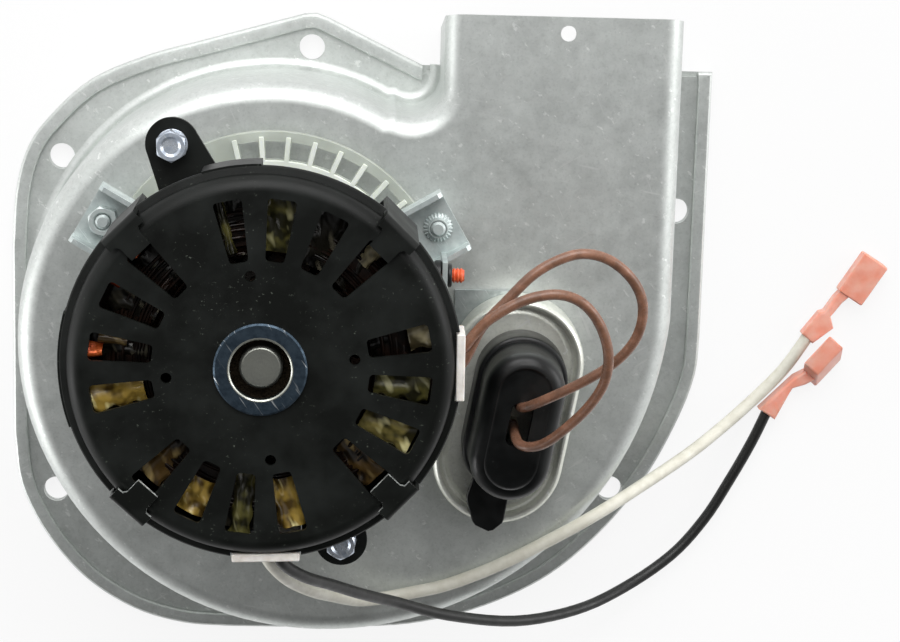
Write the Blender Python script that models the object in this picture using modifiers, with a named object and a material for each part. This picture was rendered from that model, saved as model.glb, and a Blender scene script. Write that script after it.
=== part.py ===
"""Combustion fan: a furnace draft-inducer blower, built piece by piece.

Metres, +Z up.  The blower lies on its back plate, with the motor on top and
the outlet facing +Y.  Every piece is parented to one empty that stands on the
rotor axis, so the sizes below are measured from that axis.
"""
import math

import bmesh
import bpy
from mathutils import Matrix, Vector

# ---- clearances ---------------------------------------------------------
GAP = 0.0003             # between sheets and pieces that rest on each other
FIT_GAP = 0.00015        # between the shaft and what is pressed on it
RUN_GAP = 0.00011        # radial clearance of the shaft in its bearings
SEAM = 0.0001            # step between the faces of shapes that are joined into one

# ---- back plate and flange ----------------------------------------------
PLATE_THICKNESS = 0.0010
SHELL_THICKNESS = 0.0012
HEM_THICKNESS = 0.0010
HEM_WIDTH = 0.0036
MOUNT_HOLE_RADIUS = 0.00325
INLET_RADIUS = 0.036
PLATE_LEFT = -0.0684
PLATE_RIGHT = 0.1103
PLATE_BOTTOM = -0.0954
FLANGE_TOP = 0.0552      # where the flange ends on both sides of the outlet
HEM_END_X = 0.0360       # the fold stops here, left of the outlet

# ---- scroll housing -----------------------------------------------------
SHELL_HEIGHT = 0.0380
SHELL_ROUND = 0.0050
OUTLET_LEFT = 0.0405
OUTLET_RIGHT = 0.0985
OUTLET_MOUTH = 0.0713
MOUTH_SET_BACK = 0.0065  # the mouth leans back towards the plate
TONGUE_X = 0.0328
TONGUE_Y = 0.0534
SHAFT_HOLE_RADIUS = 0.0100
OUTLET_HOLE_RADIUS = 0.0019

# ---- rotor: shaft, wheel and cooling fan --------------------------------
SHAFT_RADIUS = 0.00475
SHAFT_BELOW_WHEEL = 0.0180   # shaft end below the wheel's back disc
SHAFT_BELOW_COVER = 0.0014   # shaft end below the cover's face
WHEEL_RADIUS = 0.0480
WHEEL_DEPTH = 0.0265
WHEEL_BELOW_SHELL = 0.0060
WHEEL_SHEET = 0.0010
BLADE_COUNT = 28
BLADE_INNER = 0.0396
BLADE_THICKNESS = 0.0009
BLADE_SWEEP = 0.0046     # how far a blade's tip leads its root
BLADE_LIP = 0.0006       # rim of both discs outside the blades
HUB_RADIUS = 0.0085
HUB_FLANGE_RADIUS = 0.0135
HUB_FLANGE = 0.0012
HUB_LENGTH = 0.0175
SET_SCREW_RADIUS = 0.0020
FAN_RADIUS = 0.0422
FAN_HUB_RADIUS = 0.0090
FAN_HUB_LENGTH = 0.0068
FAN_LIFT = 0.0022        # fan hub above the housing face
FAN_WEB_LIFT = 0.0040    # fan web above the housing face
FAN_WEB = 0.0013
WINDOW_INNER = 0.0360
WINDOW_OUTER = 0.0403
WINDOW_PITCH = math.radians(10)
WINDOW_RIB = 0.0015
WINDOWS_IN_GROUP = 8
WINDOW_GROUPS = 3
FIRST_WINDOW = 28.5

# ---- spider, studs and nuts ---------------------------------------------
STANDOFF = 0.0180
SPIDER_THICKNESS = 0.0012
SPIDER_HUB_RADIUS = 0.0240
SPIDER_EYE_RADIUS = 0.0120
ARM_HALF_WIDTH = 0.0076
ARM_END = 0.0500
ARM_WALL_START = 0.0386
ARM_WALL_HEIGHT = 0.0050
ARM_ANGLES = (30, 150, 270)
STUD_CIRCLE = 0.0454
STUD_SHOULDER_RADIUS = 0.0026
STUD_THREAD_RADIUS = 0.00175
STUD_HEAD_RADIUS = 0.0036
STUD_HEAD_THICKNESS = 0.0012
STUD_ABOVE_SPIDER = 0.0037
NUT_ACROSS_FLATS = 0.0064
NUT_HEIGHT = 0.0028
LOCK_NUT_RADIUS = 0.0035
LOCK_NUT_HEIGHT = 0.0023
LOCK_NUT_SKIRT = 0.0007
LOCK_NUT_COLLAR = 0.0006
LUG_X = 0.0402
LUG_Y = 0.0131
LUG_HALF_WIDTH = 0.0036
LUG_HEIGHT = 0.0140      # above the spider
LUG_HOLE_DROP = 0.0037   # screw line below the lug's top
STRAP_SCREW_RADIUS = 0.00175
STRAP_SCREW_REACH = 0.0052
STRAP_SCREW_HEAD = 0.0031
STRAP_SCREW_HEAD_THICKNESS = 0.0013

# ---- motor shells -------------------------------------------------------
MOTOR_SHEET = 0.0010
LOWER_DEPTH = 0.0317
FLOOR_INSET = 0.0037     # the lower shell's floor inside its stack seat
FLOOR_ROUND = 0.0033
SEAT_STEP = 0.0014       # height and width of the step under the stack
FLANGE_SHEET = 0.0012
COVER_RADIUS = 0.0422
COVER_TAPER = 0.0012     # the cover narrows towards the joint
COVER_HEIGHT = 0.0225
COVER_ROUND = 0.0034
BEAD_OVERHANG = 0.0017
BEAD_DROP = 0.0003       # bead below the rounded edge
BEAD_HEIGHT = 0.0012
LUG_OVERHANG = 0.0003    # lugs beyond the bead
LUG_DEPTH = 0.0090
LUG_SPANS = ((90.6, 107.5, 4), (165.4, 199.5, 8))
SHELL_EYE_RADIUS = 0.0067
COLLAR_INNER = 0.0088
COLLAR_OUTER = 0.0103
LOWER_COLLAR = 0.0095
UPPER_COLLAR = 0.0110
SLOT_INNER = 0.0236
SLOT_IN = 0.0049         # slots end this far inside the cover's wall
SLOT_WIDTH_INNER = 0.0042
SLOT_WIDTH_OUTER = 0.0063
SLOT_CHAMFER = 0.0009
SLOT_STEP = 18.5
FIRST_SLOT = 46.3
PIN_HOLE_RADIUS = 0.0012
PIN_HOLE_CIRCLE = 0.0205
FIRST_PIN_HOLE = 6.8
STRAP_ANGLES = (46.1, 135.2, 228.2, 316.7)
STRAP_HALF_WIDTH = 0.0048
STRAP_TIP_HALF_WIDTH = 0.0028
STRAP_THICKNESS = 0.0011
STRAP_TIP_FOLD = 0.0061  # the tip reaches this far in from the cover's wall
STRAP_FOLD = 0.0017      # the full width ends this far in from it
EARS = ((114.8, 0.0078), (-68.2, 0.0062))   # angle, and distance beyond the cover's wall
EAR_RADIUS = 0.0060
EAR_FLARE = 0.0006       # the ears widen towards the shell
EAR_HOLE_RADIUS = 0.0023
EAR_SCREW_RADIUS = 0.0019
EAR_SCREW_FLATS = 0.0064
EAR_SCREW_HEAD = 0.0035
EAR_SCREW_LENGTH = 0.0068
EAR_SCREW_DISH = 0.0009
EAR_SCREW_DISH_RADIUS = 0.0022
EAR_WASHER_RADIUS = 0.0039
EAR_WASHER = 0.0008
EAR_NUT_HEIGHT = 0.0030
WASHER_INNER = 0.0067
WASHER_OUTER = 0.0102
WASHER_THICKNESS = 0.0009

# ---- stator and rotor core ----------------------------------------------
STACK_IN = 0.0039        # the stack inside the cover's wall
STACK_HEIGHT = 0.0120
AIR_GAP = 0.0004
ROTOR_RADIUS = 0.0192
ROTOR_OVERHANG = 0.0005
WINDING_INNER = 0.0222
WINDING_IN = 0.0019      # the upper winding inside the stack
UPPER_WINDING_HEIGHT = 0.0120
LOWER_WINDING_HEIGHT = 0.0095
WINDING_ROUND = 0.0022
STACK_BELOW_JOINT = 0.0052
BEARING_RADIUS = 0.0085
LOWER_BEARING_LENGTH = 0.0080
UPPER_BEARING_LENGTH = 0.0056
COLLAR_LENGTH = 0.0012
COLLAR_RADIUS = 0.0078

# ---- lead bushings ------------------------------------------------------
BUSHING_HALF_WIDTH = 0.0075
BUSHING_DEPTH = 0.0030   # how far the bushings reach in from the cover's wall
BUSHING_LIP = 0.0019
BUSHING_LOW = 0.0020     # above the cover's lower edge
BUSHING_LIP_LOW = 0.0095
BUSHING_NECK_HIGH = 0.0150
BUSHING_HIGH = 0.0197
BUSHING_ANGLES = {"lead_bushing_right": 0.5, "lead_bushing_bottom": -88.0}

# ---- capacitor ----------------------------------------------------------
CAPACITOR_X = 0.0579
CAPACITOR_Y = -0.0241
CAPACITOR_LEAN = -10
BRACKET_THICKNESS = 0.0008
BRACKET_MARGIN = 0.0010  # the can overhangs its bracket by this
BRACKET_TAB_LEFT = 0.0445
BRACKET_TAB_LOW = -0.0100
BRACKET_TAB_HIGH = 0.0042
CAN_HALF_WIDTH = 0.0160
CAN_HALF_LENGTH = 0.0283
CAN_HEIGHT = 0.0103
CAN_RIM = 0.0019
CAN_RECESS = 0.0026
BOOT_HALF_WIDTH = 0.0106
BOOT_HALF_LENGTH = 0.0185
BOOT_SKIRT = 0.0010
BOOT_SKIRT_HEIGHT = 0.0090
BOOT_HEIGHT = 0.0228
BOOT_WALL = 0.0017
BOOT_ROUND = 0.0030
BOOT_OFFSET = 0.0024     # along the can, towards the outlet
BOOT_TAB_LEFT = -0.0050
BOOT_TAB_RIGHT = 0.0042
BOOT_TAB_REACH = 0.0298
BOOT_TAB_ROOT = 0.0150
BOOT_TAB_THICKNESS = 0.0018
BOOT_SHIFT = 0.0006      # across the can, away from the motor
SKIRT_SHIFT = 0.0002
BOOT_SLOT = (-0.0020, 0.0042, -0.0036, 0.0092)
TERMINAL_HALF_WIDTH = 0.0025
TERMINAL_THICKNESS = 0.0008
TERMINAL_HEIGHT = 0.0095
TERMINAL_PLACES = (0.0057, -0.0016)

# ---- leads --------------------------------------------------------------
BROWN_LEAD_RADIUS = 0.0012
BLACK_LEAD_RADIUS = 0.0014
WHITE_LEAD_RADIUS = 0.0016
SLEEVE_WALL = 0.0008
SLEEVE_LIFT = 0.0004     # the terminals lie just above the surface
NECK_THICKNESS = 0.0039
SLEEVE_BACK = 0.0012     # solid wall behind the receptacle

# ---- heights that follow from the sizes above ---------------------------
FLANGE_LOW = PLATE_THICKNESS + GAP
FLANGE_HIGH = FLANGE_LOW + SHELL_THICKNESS
HEM_LOW = FLANGE_HIGH + GAP
HEM_HIGH = HEM_LOW + HEM_THICKNESS
SPIDER_LOW = SHELL_HEIGHT + STANDOFF
SPIDER_HIGH = SPIDER_LOW + SPIDER_THICKNESS
LUG_TOP = SPIDER_HIGH + LUG_HEIGHT
STRAP_SCREW_HEIGHT = LUG_TOP - LUG_HOLE_DROP
MOTOR_LOW = SPIDER_HIGH + GAP
MOTOR_JOINT = MOTOR_LOW + LOWER_DEPTH
COVER_LOW = MOTOR_JOINT + GAP
COVER_TOP = COVER_LOW + COVER_HEIGHT
STACK_LOW = MOTOR_JOINT - STACK_BELOW_JOINT
STACK_HIGH = STACK_LOW + STACK_HEIGHT
FLANGE_RADIUS = COVER_RADIUS - COVER_TAPER
BEAD_RADIUS = COVER_RADIUS + BEAD_OVERHANG
LUG_RADIUS = BEAD_RADIUS + LUG_OVERHANG
EAR_PLACES = tuple((angle, COVER_RADIUS + beyond) for angle, beyond in EARS)
SLOT_OUTER = COVER_RADIUS - SLOT_IN
STRAP_REACH = COVER_RADIUS - STRAP_TIP_FOLD
STRAP_SHOULDER = COVER_RADIUS - STRAP_FOLD
BUSHING_INNER = COVER_RADIUS - BUSHING_DEPTH
STACK_RADIUS = COVER_RADIUS - STACK_IN
WINDING_OUTER = STACK_RADIUS - WINDING_IN
STACK_STEP_RADIUS = STACK_RADIUS + SEAT_STEP
LOWER_FLOOR_RADIUS = STACK_STEP_RADIUS - FLOOR_INSET
LOWER_WINDING_OUTER = LOWER_FLOOR_RADIUS - 2 * SEAM
WHEEL_HIGH = SHELL_HEIGHT - WHEEL_BELOW_SHELL
WHEEL_LOW = WHEEL_HIGH - WHEEL_DEPTH
SHAFT_LOW = WHEEL_HIGH - SHAFT_BELOW_WHEEL
SHAFT_HIGH = COVER_TOP - SHAFT_BELOW_COVER
CAN_LOW = SHELL_HEIGHT + GAP + BRACKET_THICKNESS + GAP
CAN_TOP = CAN_LOW + CAN_HEIGHT
BOOT_LOW = CAN_TOP - CAN_RECESS + GAP
BOOT_TOP = BOOT_LOW + BOOT_HEIGHT

MM = 0.001

# Wall radius of the scroll at a few angles round the axis, tongue to outlet.
SCROLL_STATIONS = ((60, 0.0540), (105, 0.0541), (150, 0.0578), (180, 0.0620), (220, 0.0708),
                   (265, 0.0830), (300, 0.0908), (330, 0.0957), (358, 0.0985))
# Plate outline where it is curved: right shoulder, lower left and upper left.
PLATE_LOWER_RIGHT = ((0.1103, -0.014), (0.1096, -0.0240), (0.1060, -0.0354), (0.0990, -0.0502),
                     (0.0900, -0.0633), (0.0795, -0.0745), (0.0683, -0.0828), (0.0530, -0.0898),
                     (0.0360, -0.0940), (0.0150, -0.0954))
PLATE_LOWER_LEFT = ((-0.0120, -0.0954), (-0.0240, -0.0946), (-0.0370, -0.0908), (-0.0498, -0.0826),
                    (-0.0600, -0.0706), (-0.0666, -0.0570), (-0.0684, -0.0430))
PLATE_UPPER_LEFT = ((-0.0684, 0.0060), (-0.0674, 0.0205), (-0.0645, 0.0315), (-0.0590, 0.0397),
                    (-0.0483, 0.0496), (-0.0339, 0.0561), (-0.0200, 0.0602))
PLATE_PEAK = ((0.0059, 0.0676), (0.0090, 0.0678), (0.0122, 0.0666))
MOUNT_HOLES = ((-0.0556, 0.0298), (0.0078, 0.0591), (0.1025, 0.0190), (-0.0574, -0.0584),
               (0.0882, -0.0556))

# Lead routes, chosen by hand: axis-centred millimetres.
OUTER_BROWN_ROUTE = ((43.0, -3.0, 91.9), (44.5, -2.4, 91.9), (46.0, 0.4, 92.1), (48.6, 6.0, 92.3),
                     (53.8, 11.9, 92.0), (60.1, 18.4, 91.6), (66.8, 22.1, 91.0), (72.0, 22.9, 90.3),
                     (77.3, 21.3, 89.4), (82.1, 17.3, 88.2), (84.9, 12.3, 87.0), (85.3, 6.7, 85.6),
                     (83.8, 1.6, 84.2), (80.4, -3.2, 82.2), (75.8, -7.1, 80.4), (70.8, -10.5, 78.6),
                     (65.8, -13.5, 76.8), (62.3, -15.7, 74.6), (60.2, -17.2, 71.6), (59.4, -18.0, 67.0),
                     (59.2, -18.2, 57.3))
INNER_BROWN_ROUTE = ((43.0, 1.4, 94.9), (44.6, 2.0, 95.1), (46.7, 4.9, 95.4), (50.2, 8.6, 95.6),
                     (56.7, 12.6, 95.6), (63.4, 14.4, 95.2), (68.8, 13.6, 94.6), (73.0, 10.4, 93.6),
                     (76.1, 5.1, 92.2), (77.6, -1.1, 90.4), (76.9, -7.6, 88.0), (73.7, -14.0, 84.9),
                     (68.9, -20.0, 81.4), (64.9, -24.0, 78.4), (61.5, -25.7, 75.8), (59.3, -25.7, 73.2),
                     (58.6, -25.1, 70.4), (58.5, -24.8, 66.0), (58.5, -24.8, 57.3))
BLACK_ROUTE = ((4.2, -42.9, 95.8), (4.5, -48.4, 94.9), (9.4, -54.0, 88.4), (16.2, -59.4, 78.0),
               (23.6, -65.0, 67.5), (31.4, -70.2, 57.0), (44.8, -77.2, 45.5), (62.5, -83.3, 31.0),
               (79.0, -84.4, 18.0), (92.3, -81.1, 9.0), (105.3, -73.4, 3.9), (113.9, -63.8, 2.2),
               (120.0, -53.3, 2.0), (125.4, -42.6, 2.2), (129.4, -33.1, 2.4))
WHITE_ROUTE = ((0.4, -42.9, 94.0), (0.6, -45.4, 93.7), (2.0, -50.4, 90.0), (5.6, -57.2, 80.5),
               (10.7, -63.9, 68.0), (16.1, -68.8, 57.0), (22.4, -72.6, 48.5), (28.5, -73.9, 42.6),
               (35.5, -73.2, 40.2), (44.7, -71.0, 39.9), (56.7, -66.0, 39.9), (68.4, -59.8, 39.9),
               (80.2, -53.2, 38.8), (92.9, -47.6, 30.0), (106.4, -42.2, 17.5), (115.5, -37.4, 9.5),
               (124.4, -30.8, 4.5), (132.8, -22.4, 2.6), (139.3, -12.6, 2.4))
# Flag terminals: where the box starts, its direction and size, and the neck's outline.
WHITE_TERMINAL = {"x": 0.1489, "y": -0.0027, "angle": 57.7, "length": 0.0120, "across": 0.0074,
                  "tall": 0.0045,
                  "neck": ((138.3, -10.4), (141.3, -13.0), (145.3, -10.9), (145.2, -8.2),
                           (147.9, -3.9), (150.0, -1.5), (147.3, 0.0), (145.0, -2.6),
                           (142.6, -6.3), (141.2, -6.8))}
BLACK_TERMINAL = {"x": 0.1393, "y": -0.0209, "angle": 49.5, "length": 0.0092, "across": 0.0046,
                  "tall": 0.0072,
                  "neck": ((127.5, -31.2), (131.9, -34.0), (134.6, -28.4), (135.2, -26.4),
                           (138.0, -24.4), (141.0, -21.9), (139.3, -20.0), (135.9, -22.9))}

parts = bpy.data.collections.new("combustion_fan")
guides = bpy.data.collections.new("cutters")


# ---- modelling helpers --------------------------------------------------
def clear_scene():
    for thing in list(bpy.data.objects):
        bpy.data.objects.remove(thing, do_unlink=True)
    bpy.context.scene.collection.children.link(parts)
    bpy.context.scene.collection.children.link(guides)


def paint(name, colour, roughness, metallic=0.0, alpha=1.0):
    """A plain Principled BSDF with the piece's colour."""
    material = bpy.data.materials.new(name)
    material.use_nodes = True
    shader = material.node_tree.nodes["Principled BSDF"]
    shader.inputs["Base Color"].default_value = (*colour, 1.0)
    shader.inputs["Roughness"].default_value = roughness
    shader.inputs["Metallic"].default_value = metallic
    shader.inputs["Alpha"].default_value = alpha
    return material


def place(mesh, name, material=None):
    """A part, or with no material a hidden guide, hung from the rotor axis."""
    thing = bpy.data.objects.new(name, mesh)
    if material is None:
        guides.objects.link(thing)
        thing.hide_render = True
        thing.display_type = "WIRE"
    else:
        parts.objects.link(thing)
        mesh.materials.append(material)
    thing.parent = axis
    return thing


def smooth(mesh, angle=35):
    mesh.shade_smooth()
    mesh.set_sharp_from_angle(angle=math.radians(angle))


def prism(name, outline, low, high, material=None, round_top=0.0, steps=4, turn=None):
    """A flat outline pushed up from low to high, its top edge rounded on request."""
    shape = bmesh.new()
    face = shape.faces.new([shape.verts.new((x, y, low)) for x, y in outline])
    pushed = bmesh.ops.extrude_face_region(shape, geom=[face])["geom"]
    top = [item for item in pushed if isinstance(item, bmesh.types.BMVert)]
    bmesh.ops.translate(shape, verts=top, vec=(0, 0, high - low))
    bmesh.ops.recalc_face_normals(shape, faces=shape.faces)
    if round_top:
        rim = [edge for edge in shape.edges if all(vert in top for vert in edge.verts)]
        bmesh.ops.bevel(shape, geom=rim, offset=round_top, segments=steps, profile=0.5,
                        affect="EDGES", clamp_overlap=False)
    if turn is not None:
        bmesh.ops.transform(shape, matrix=turn, verts=shape.verts)
    mesh = bpy.data.meshes.new(name)
    shape.to_mesh(mesh)
    shape.free()
    smooth(mesh)
    return place(mesh, name, material)


def turned(name, profile, material=None, sides=48, closed=True):
    """A profile of (radius, height) turned round the rotor axis by a Screw modifier."""
    mesh = bpy.data.meshes.new(name)
    edges = [(n, n + 1) for n in range(len(profile) - 1)]
    if closed:
        edges.append((len(profile) - 1, 0))
    mesh.from_pydata([(radius, 0, height) for radius, height in profile], edges, [])
    thing = place(mesh, name, material)
    screw = thing.modifiers.new("turn", "SCREW")
    screw.steps = sides
    screw.render_steps = sides
    screw.use_merge_vertices = True
    screw.merge_threshold = 0.00001
    return thing


def ring(name, inner, outer, low, high, material=None, sides=48):
    profile = [(inner, high), (outer, high), (outer, low), (inner, low)]
    return turned(name, profile, material, sides)


def drum(name, radius, low, high, material=None, sides=32, x=0.0, y=0.0, turn=None):
    """A round bar standing at x, y, or laid by the turn matrix."""
    shape = bmesh.new()
    bmesh.ops.create_cone(shape, cap_ends=True, segments=sides, radius1=radius, radius2=radius,
                          depth=high - low)
    bmesh.ops.translate(shape, verts=shape.verts, vec=(0, 0, (low + high) / 2))
    if turn is not None:
        bmesh.ops.transform(shape, matrix=turn, verts=shape.verts)
    bmesh.ops.translate(shape, verts=shape.verts, vec=(x, y, 0))
    mesh = bpy.data.meshes.new(name)
    shape.to_mesh(mesh)
    shape.free()
    smooth(mesh)
    return place(mesh, name, material)


def block(name, lows, highs, turn=0.0, material=None):
    """A box between two corners, turned about the rotor axis by an angle in degrees."""
    shape = bmesh.new()
    bmesh.ops.create_cube(shape, size=1.0)
    size = [high - low for low, high in zip(lows, highs)]
    middle = [(low + high) / 2 for low, high in zip(lows, highs)]
    bmesh.ops.scale(shape, verts=shape.verts, vec=size)
    bmesh.ops.translate(shape, verts=shape.verts, vec=middle)
    spin = Matrix.Rotation(math.radians(turn), 4, "Z")
    bmesh.ops.transform(shape, matrix=spin, verts=shape.verts)
    mesh = bpy.data.meshes.new(name)
    shape.to_mesh(mesh)
    shape.free()
    return place(mesh, name, material)


def combine(thing, others, operation):
    """Boolean modifiers, one for each of the other solids."""
    for other in others:
        step = thing.modifiers.new(operation.lower(), "BOOLEAN")
        step.operation = operation
        step.solver = "EXACT"
        step.object = other


def together(name, pieces):
    """Several cutters in one hidden object."""
    shape = bmesh.new()
    for piece in pieces:
        shape.from_mesh(piece.data)
        bpy.data.objects.remove(piece, do_unlink=True)
    mesh = bpy.data.meshes.new(name)
    shape.to_mesh(mesh)
    shape.free()
    return place(mesh, name)


# ---- outlines -----------------------------------------------------------
def polar(radius, degrees):
    angle = math.radians(degrees)
    return radius * math.cos(angle), radius * math.sin(angle)


def arc(x, y, radius, start, end, count):
    """Points on an arc, from the start angle to the end angle, both included."""
    points = []
    for n in range(count + 1):
        px, py = polar(radius, start + (end - start) * n / count)
        points.append((x + px, y + py))
    return points


def curve_through(points, pieces):
    """A Catmull-Rom curve through the points, with its ends."""
    knots = [Vector(point) for point in points]
    knots = [2 * knots[0] - knots[1]] + knots + [2 * knots[-1] - knots[-2]]
    found = [knots[1]]
    for a, b, c, d in zip(knots, knots[1:], knots[2:], knots[3:]):
        for n in range(1, pieces + 1):
            t = n / pieces
            bend = (2 * a - 5 * b + 4 * c - d) * t * t + (3 * b - 3 * c + d - a) * t ** 3
            found.append((2 * b + (c - a) * t + bend) / 2)
    return [tuple(point) for point in found]


def inset(outline, depth):
    """The counter-clockwise outline moved inwards by depth, with mitred corners."""
    count = len(outline)
    moved = []
    for n, point in enumerate(outline):
        here = Vector(point)
        before = (here - Vector(outline[n - 1])).normalized()
        after = (Vector(outline[(n + 1) % count]) - here).normalized()
        side = (Vector((-before.y, before.x)) + Vector((-after.y, after.x))).normalized()
        reach = depth / max(0.3, side.dot(Vector((-after.y, after.x))))
        moved.append(tuple(here + side * reach))
    return moved


def oval(x, y, half_width, half_length, lean, count=7):
    """A stadium with its long axis turned from +Y by lean degrees."""
    straight = half_length - half_width
    points = arc(0, straight, half_width, 0, 180, count)
    points += arc(0, -straight, half_width, 180, 360, count)
    return leaned(points, x, y, lean)


def leaned(points, x, y, lean):
    """Points turned by lean degrees and moved to x, y."""
    spin = Matrix.Rotation(math.radians(lean), 2)
    return [tuple(spin @ Vector(point) + Vector((x, y))) for point in points]


def sector(inner, outer, start, end, count):
    return arc(0, 0, outer, start, end, count) + arc(0, 0, inner, end, start, count)


def plate_outline():
    """Counter-clockwise from the top of the flange's right edge."""
    floor = OUTLET_MOUTH - MOUTH_SET_BACK
    points = [(OUTLET_RIGHT, FLANGE_TOP), (OUTLET_RIGHT, floor), (OUTLET_LEFT, floor),
              (OUTLET_LEFT, FLANGE_TOP), (HEM_END_X, FLANGE_TOP)]
    points += list(reversed(PLATE_PEAK))
    points += list(reversed(curve_through(PLATE_UPPER_LEFT, 2)))
    points += list(reversed(curve_through(PLATE_LOWER_LEFT, 2)))
    points += list(reversed(curve_through(PLATE_LOWER_RIGHT, 2)))
    points.append((PLATE_RIGHT, FLANGE_TOP))
    return points


def scroll_outline(depth=0.0):
    """Counter-clockwise outline of the wall, the outlet run out past its mouth."""
    beyond = OUTLET_MOUTH + 0.004
    tongue_radius = OUTLET_LEFT - TONGUE_X
    points = [(OUTLET_RIGHT, beyond), (OUTLET_LEFT, beyond)]
    points += arc(TONGUE_X, TONGUE_Y, tongue_radius, 0, -122, 6)
    stations = curve_through(SCROLL_STATIONS, 3)
    points += [polar(radius, angle) for angle, radius in stations]
    return inset(points, depth) if depth else points


# ---- housing ------------------------------------------------------------
def back_plate(metal):
    """Flat plate with the inlet eye; its rim is folded over the housing flange."""
    outline = plate_outline()
    plate = prism("back_plate", outline, 0, HEM_HIGH, metal)
    slot = prism("hem_slot", inset(outline, HEM_THICKNESS), PLATE_THICKNESS, HEM_LOW)
    centre = prism("hem_opening", inset(outline, HEM_WIDTH), PLATE_THICKNESS, HEM_HIGH + GAP)
    outlet = block("hem_outlet", (HEM_END_X, FLANGE_TOP - 0.010, PLATE_THICKNESS),
                   (PLATE_RIGHT - HEM_WIDTH, OUTLET_MOUTH, HEM_HIGH + GAP))
    eye = drum("inlet_eye", INLET_RADIUS, -GAP, HEM_HIGH, sides=64)
    combine(plate, [slot, centre, outlet, eye, mount_hole_cutter()], "DIFFERENCE")
    return plate


def mount_hole_cutter():
    holes = [drum("hole", MOUNT_HOLE_RADIUS, -GAP, HEM_HIGH + GAP, sides=20, x=x, y=y)
             for x, y in MOUNT_HOLES]
    return together("mount_hole_cutter", holes)


def scroll_housing(metal):
    """Drawn scroll shell with its flange, outlet duct and rounded face."""
    flange = inset(plate_outline(), HEM_THICKNESS + GAP)
    shell = prism("scroll_housing", scroll_outline(), FLANGE_LOW, SHELL_HEIGHT, metal,
                  round_top=SHELL_ROUND, steps=3)
    rim = prism("flange_sheet", flange, FLANGE_LOW + SEAM, FLANGE_HIGH)
    hollow = prism("scroll_hollow", scroll_outline(SHELL_THICKNESS), -GAP,
                   SHELL_HEIGHT - SHELL_THICKNESS, round_top=SHELL_ROUND - SHELL_THICKNESS,
                   steps=2)
    lean = MOUTH_SET_BACK / (SHELL_HEIGHT - FLANGE_LOW)
    wedge = [(OUTLET_MOUTH - MOUTH_SET_BACK - lean * FLANGE_LOW, -GAP),
             (OUTLET_MOUTH + 0.010, -GAP), (OUTLET_MOUTH + 0.010, SHELL_HEIGHT + GAP),
             (OUTLET_MOUTH + lean * GAP, SHELL_HEIGHT + GAP)]
    side = Matrix(((0, 0, 1, 0), (1, 0, 0, 0), (0, 1, 0, 0), (0, 0, 0, 1)))
    mouth = prism("mouth_cut", wedge, OUTLET_LEFT - 0.010, OUTLET_RIGHT + 0.010, turn=side)
    holes = [drum("hole", SHAFT_HOLE_RADIUS, SHELL_HEIGHT - 0.004, SHELL_HEIGHT + GAP, sides=40),
             drum("hole", OUTLET_HOLE_RADIUS, SHELL_HEIGHT - 0.004, SHELL_HEIGHT + GAP, sides=16,
                  x=0.0702, y=OUTLET_MOUTH - 0.004)]
    for angle in ARM_ANGLES:
        x, y = polar(STUD_CIRCLE, angle)
        holes.append(drum("hole", STUD_THREAD_RADIUS + GAP, SHELL_HEIGHT - 0.004,
                          SHELL_HEIGHT + GAP, sides=16, x=x, y=y))
    combine(shell, [rim], "UNION")
    combine(shell, [hollow, mouth, together("face_holes", holes), bpy.data.objects["mount_hole_cutter"]],
            "DIFFERENCE")
    return shell


# ---- rotor --------------------------------------------------------------
def shaft(steel):
    tip = 0.0005
    profile = [(0, SHAFT_HIGH), (SHAFT_RADIUS - tip, SHAFT_HIGH), (SHAFT_RADIUS, SHAFT_HIGH - tip),
               (SHAFT_RADIUS, SHAFT_LOW + tip), (SHAFT_RADIUS - tip, SHAFT_LOW), (0, SHAFT_LOW)]
    return turned("shaft", profile, steel, 28, closed=False)


def wheel_blade(angle):
    """One forward-curved blade, a bent strip between two radii."""
    inner, outer = [], []
    for n in range(3):
        share = n / 2
        radius = BLADE_INNER + (WHEEL_RADIUS - BLADE_LIP - BLADE_INNER) * share
        lead = math.degrees(BLADE_SWEEP / WHEEL_RADIUS) * share * share
        half = math.degrees(BLADE_THICKNESS / 2 / radius)
        outer.append(polar(radius, angle + lead - half))
        inner.append(polar(radius, angle + lead + half))
    return prism("blade", outer + inner[::-1], WHEEL_LOW + WHEEL_SHEET / 2,
                 WHEEL_HIGH - WHEEL_SHEET / 2)


def impeller(steel):
    """Squirrel-cage wheel: back disc, blades and front ring in one piece."""
    wheel = ring("impeller", HUB_RADIUS + GAP, WHEEL_RADIUS, WHEEL_HIGH - WHEEL_SHEET, WHEEL_HIGH,
                 steel, 48)
    front = ring("front_ring", BLADE_INNER, WHEEL_RADIUS, WHEEL_LOW, WHEEL_LOW + WHEEL_SHEET,
                 sides=48)
    blades = [wheel_blade(360 * n / BLADE_COUNT) for n in range(BLADE_COUNT)]
    combine(wheel, [together("wheel_blades", blades), front], "UNION")
    return wheel


def impeller_hub(steel):
    """Turned hub that carries the wheel, with a radial set screw hole."""
    top = WHEEL_HIGH + GAP + HUB_FLANGE
    bore = SHAFT_RADIUS + FIT_GAP
    profile = [(bore, top), (HUB_FLANGE_RADIUS, top), (HUB_FLANGE_RADIUS, WHEEL_HIGH + GAP),
               (HUB_RADIUS, WHEEL_HIGH + GAP), (HUB_RADIUS, top - HUB_LENGTH), (bore, top - HUB_LENGTH)]
    hub = turned("impeller_hub", profile, steel, 28)
    combine(hub, [radial_bar("set_screw_hole", SET_SCREW_RADIUS + FIT_GAP, SHAFT_RADIUS,
                             HUB_FLANGE_RADIUS)],
            "DIFFERENCE")
    return hub


def radial_bar(name, radius, start, end, material=None):
    """A round bar along +X at the set screw's height."""
    height = WHEEL_HIGH - HUB_LENGTH / 2
    lay = Matrix.Translation((0, 0, height)) @ Matrix.Rotation(math.pi / 2, 4, "Y")
    return drum(name, radius, start, end, material, sides=12, turn=lay)


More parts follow.
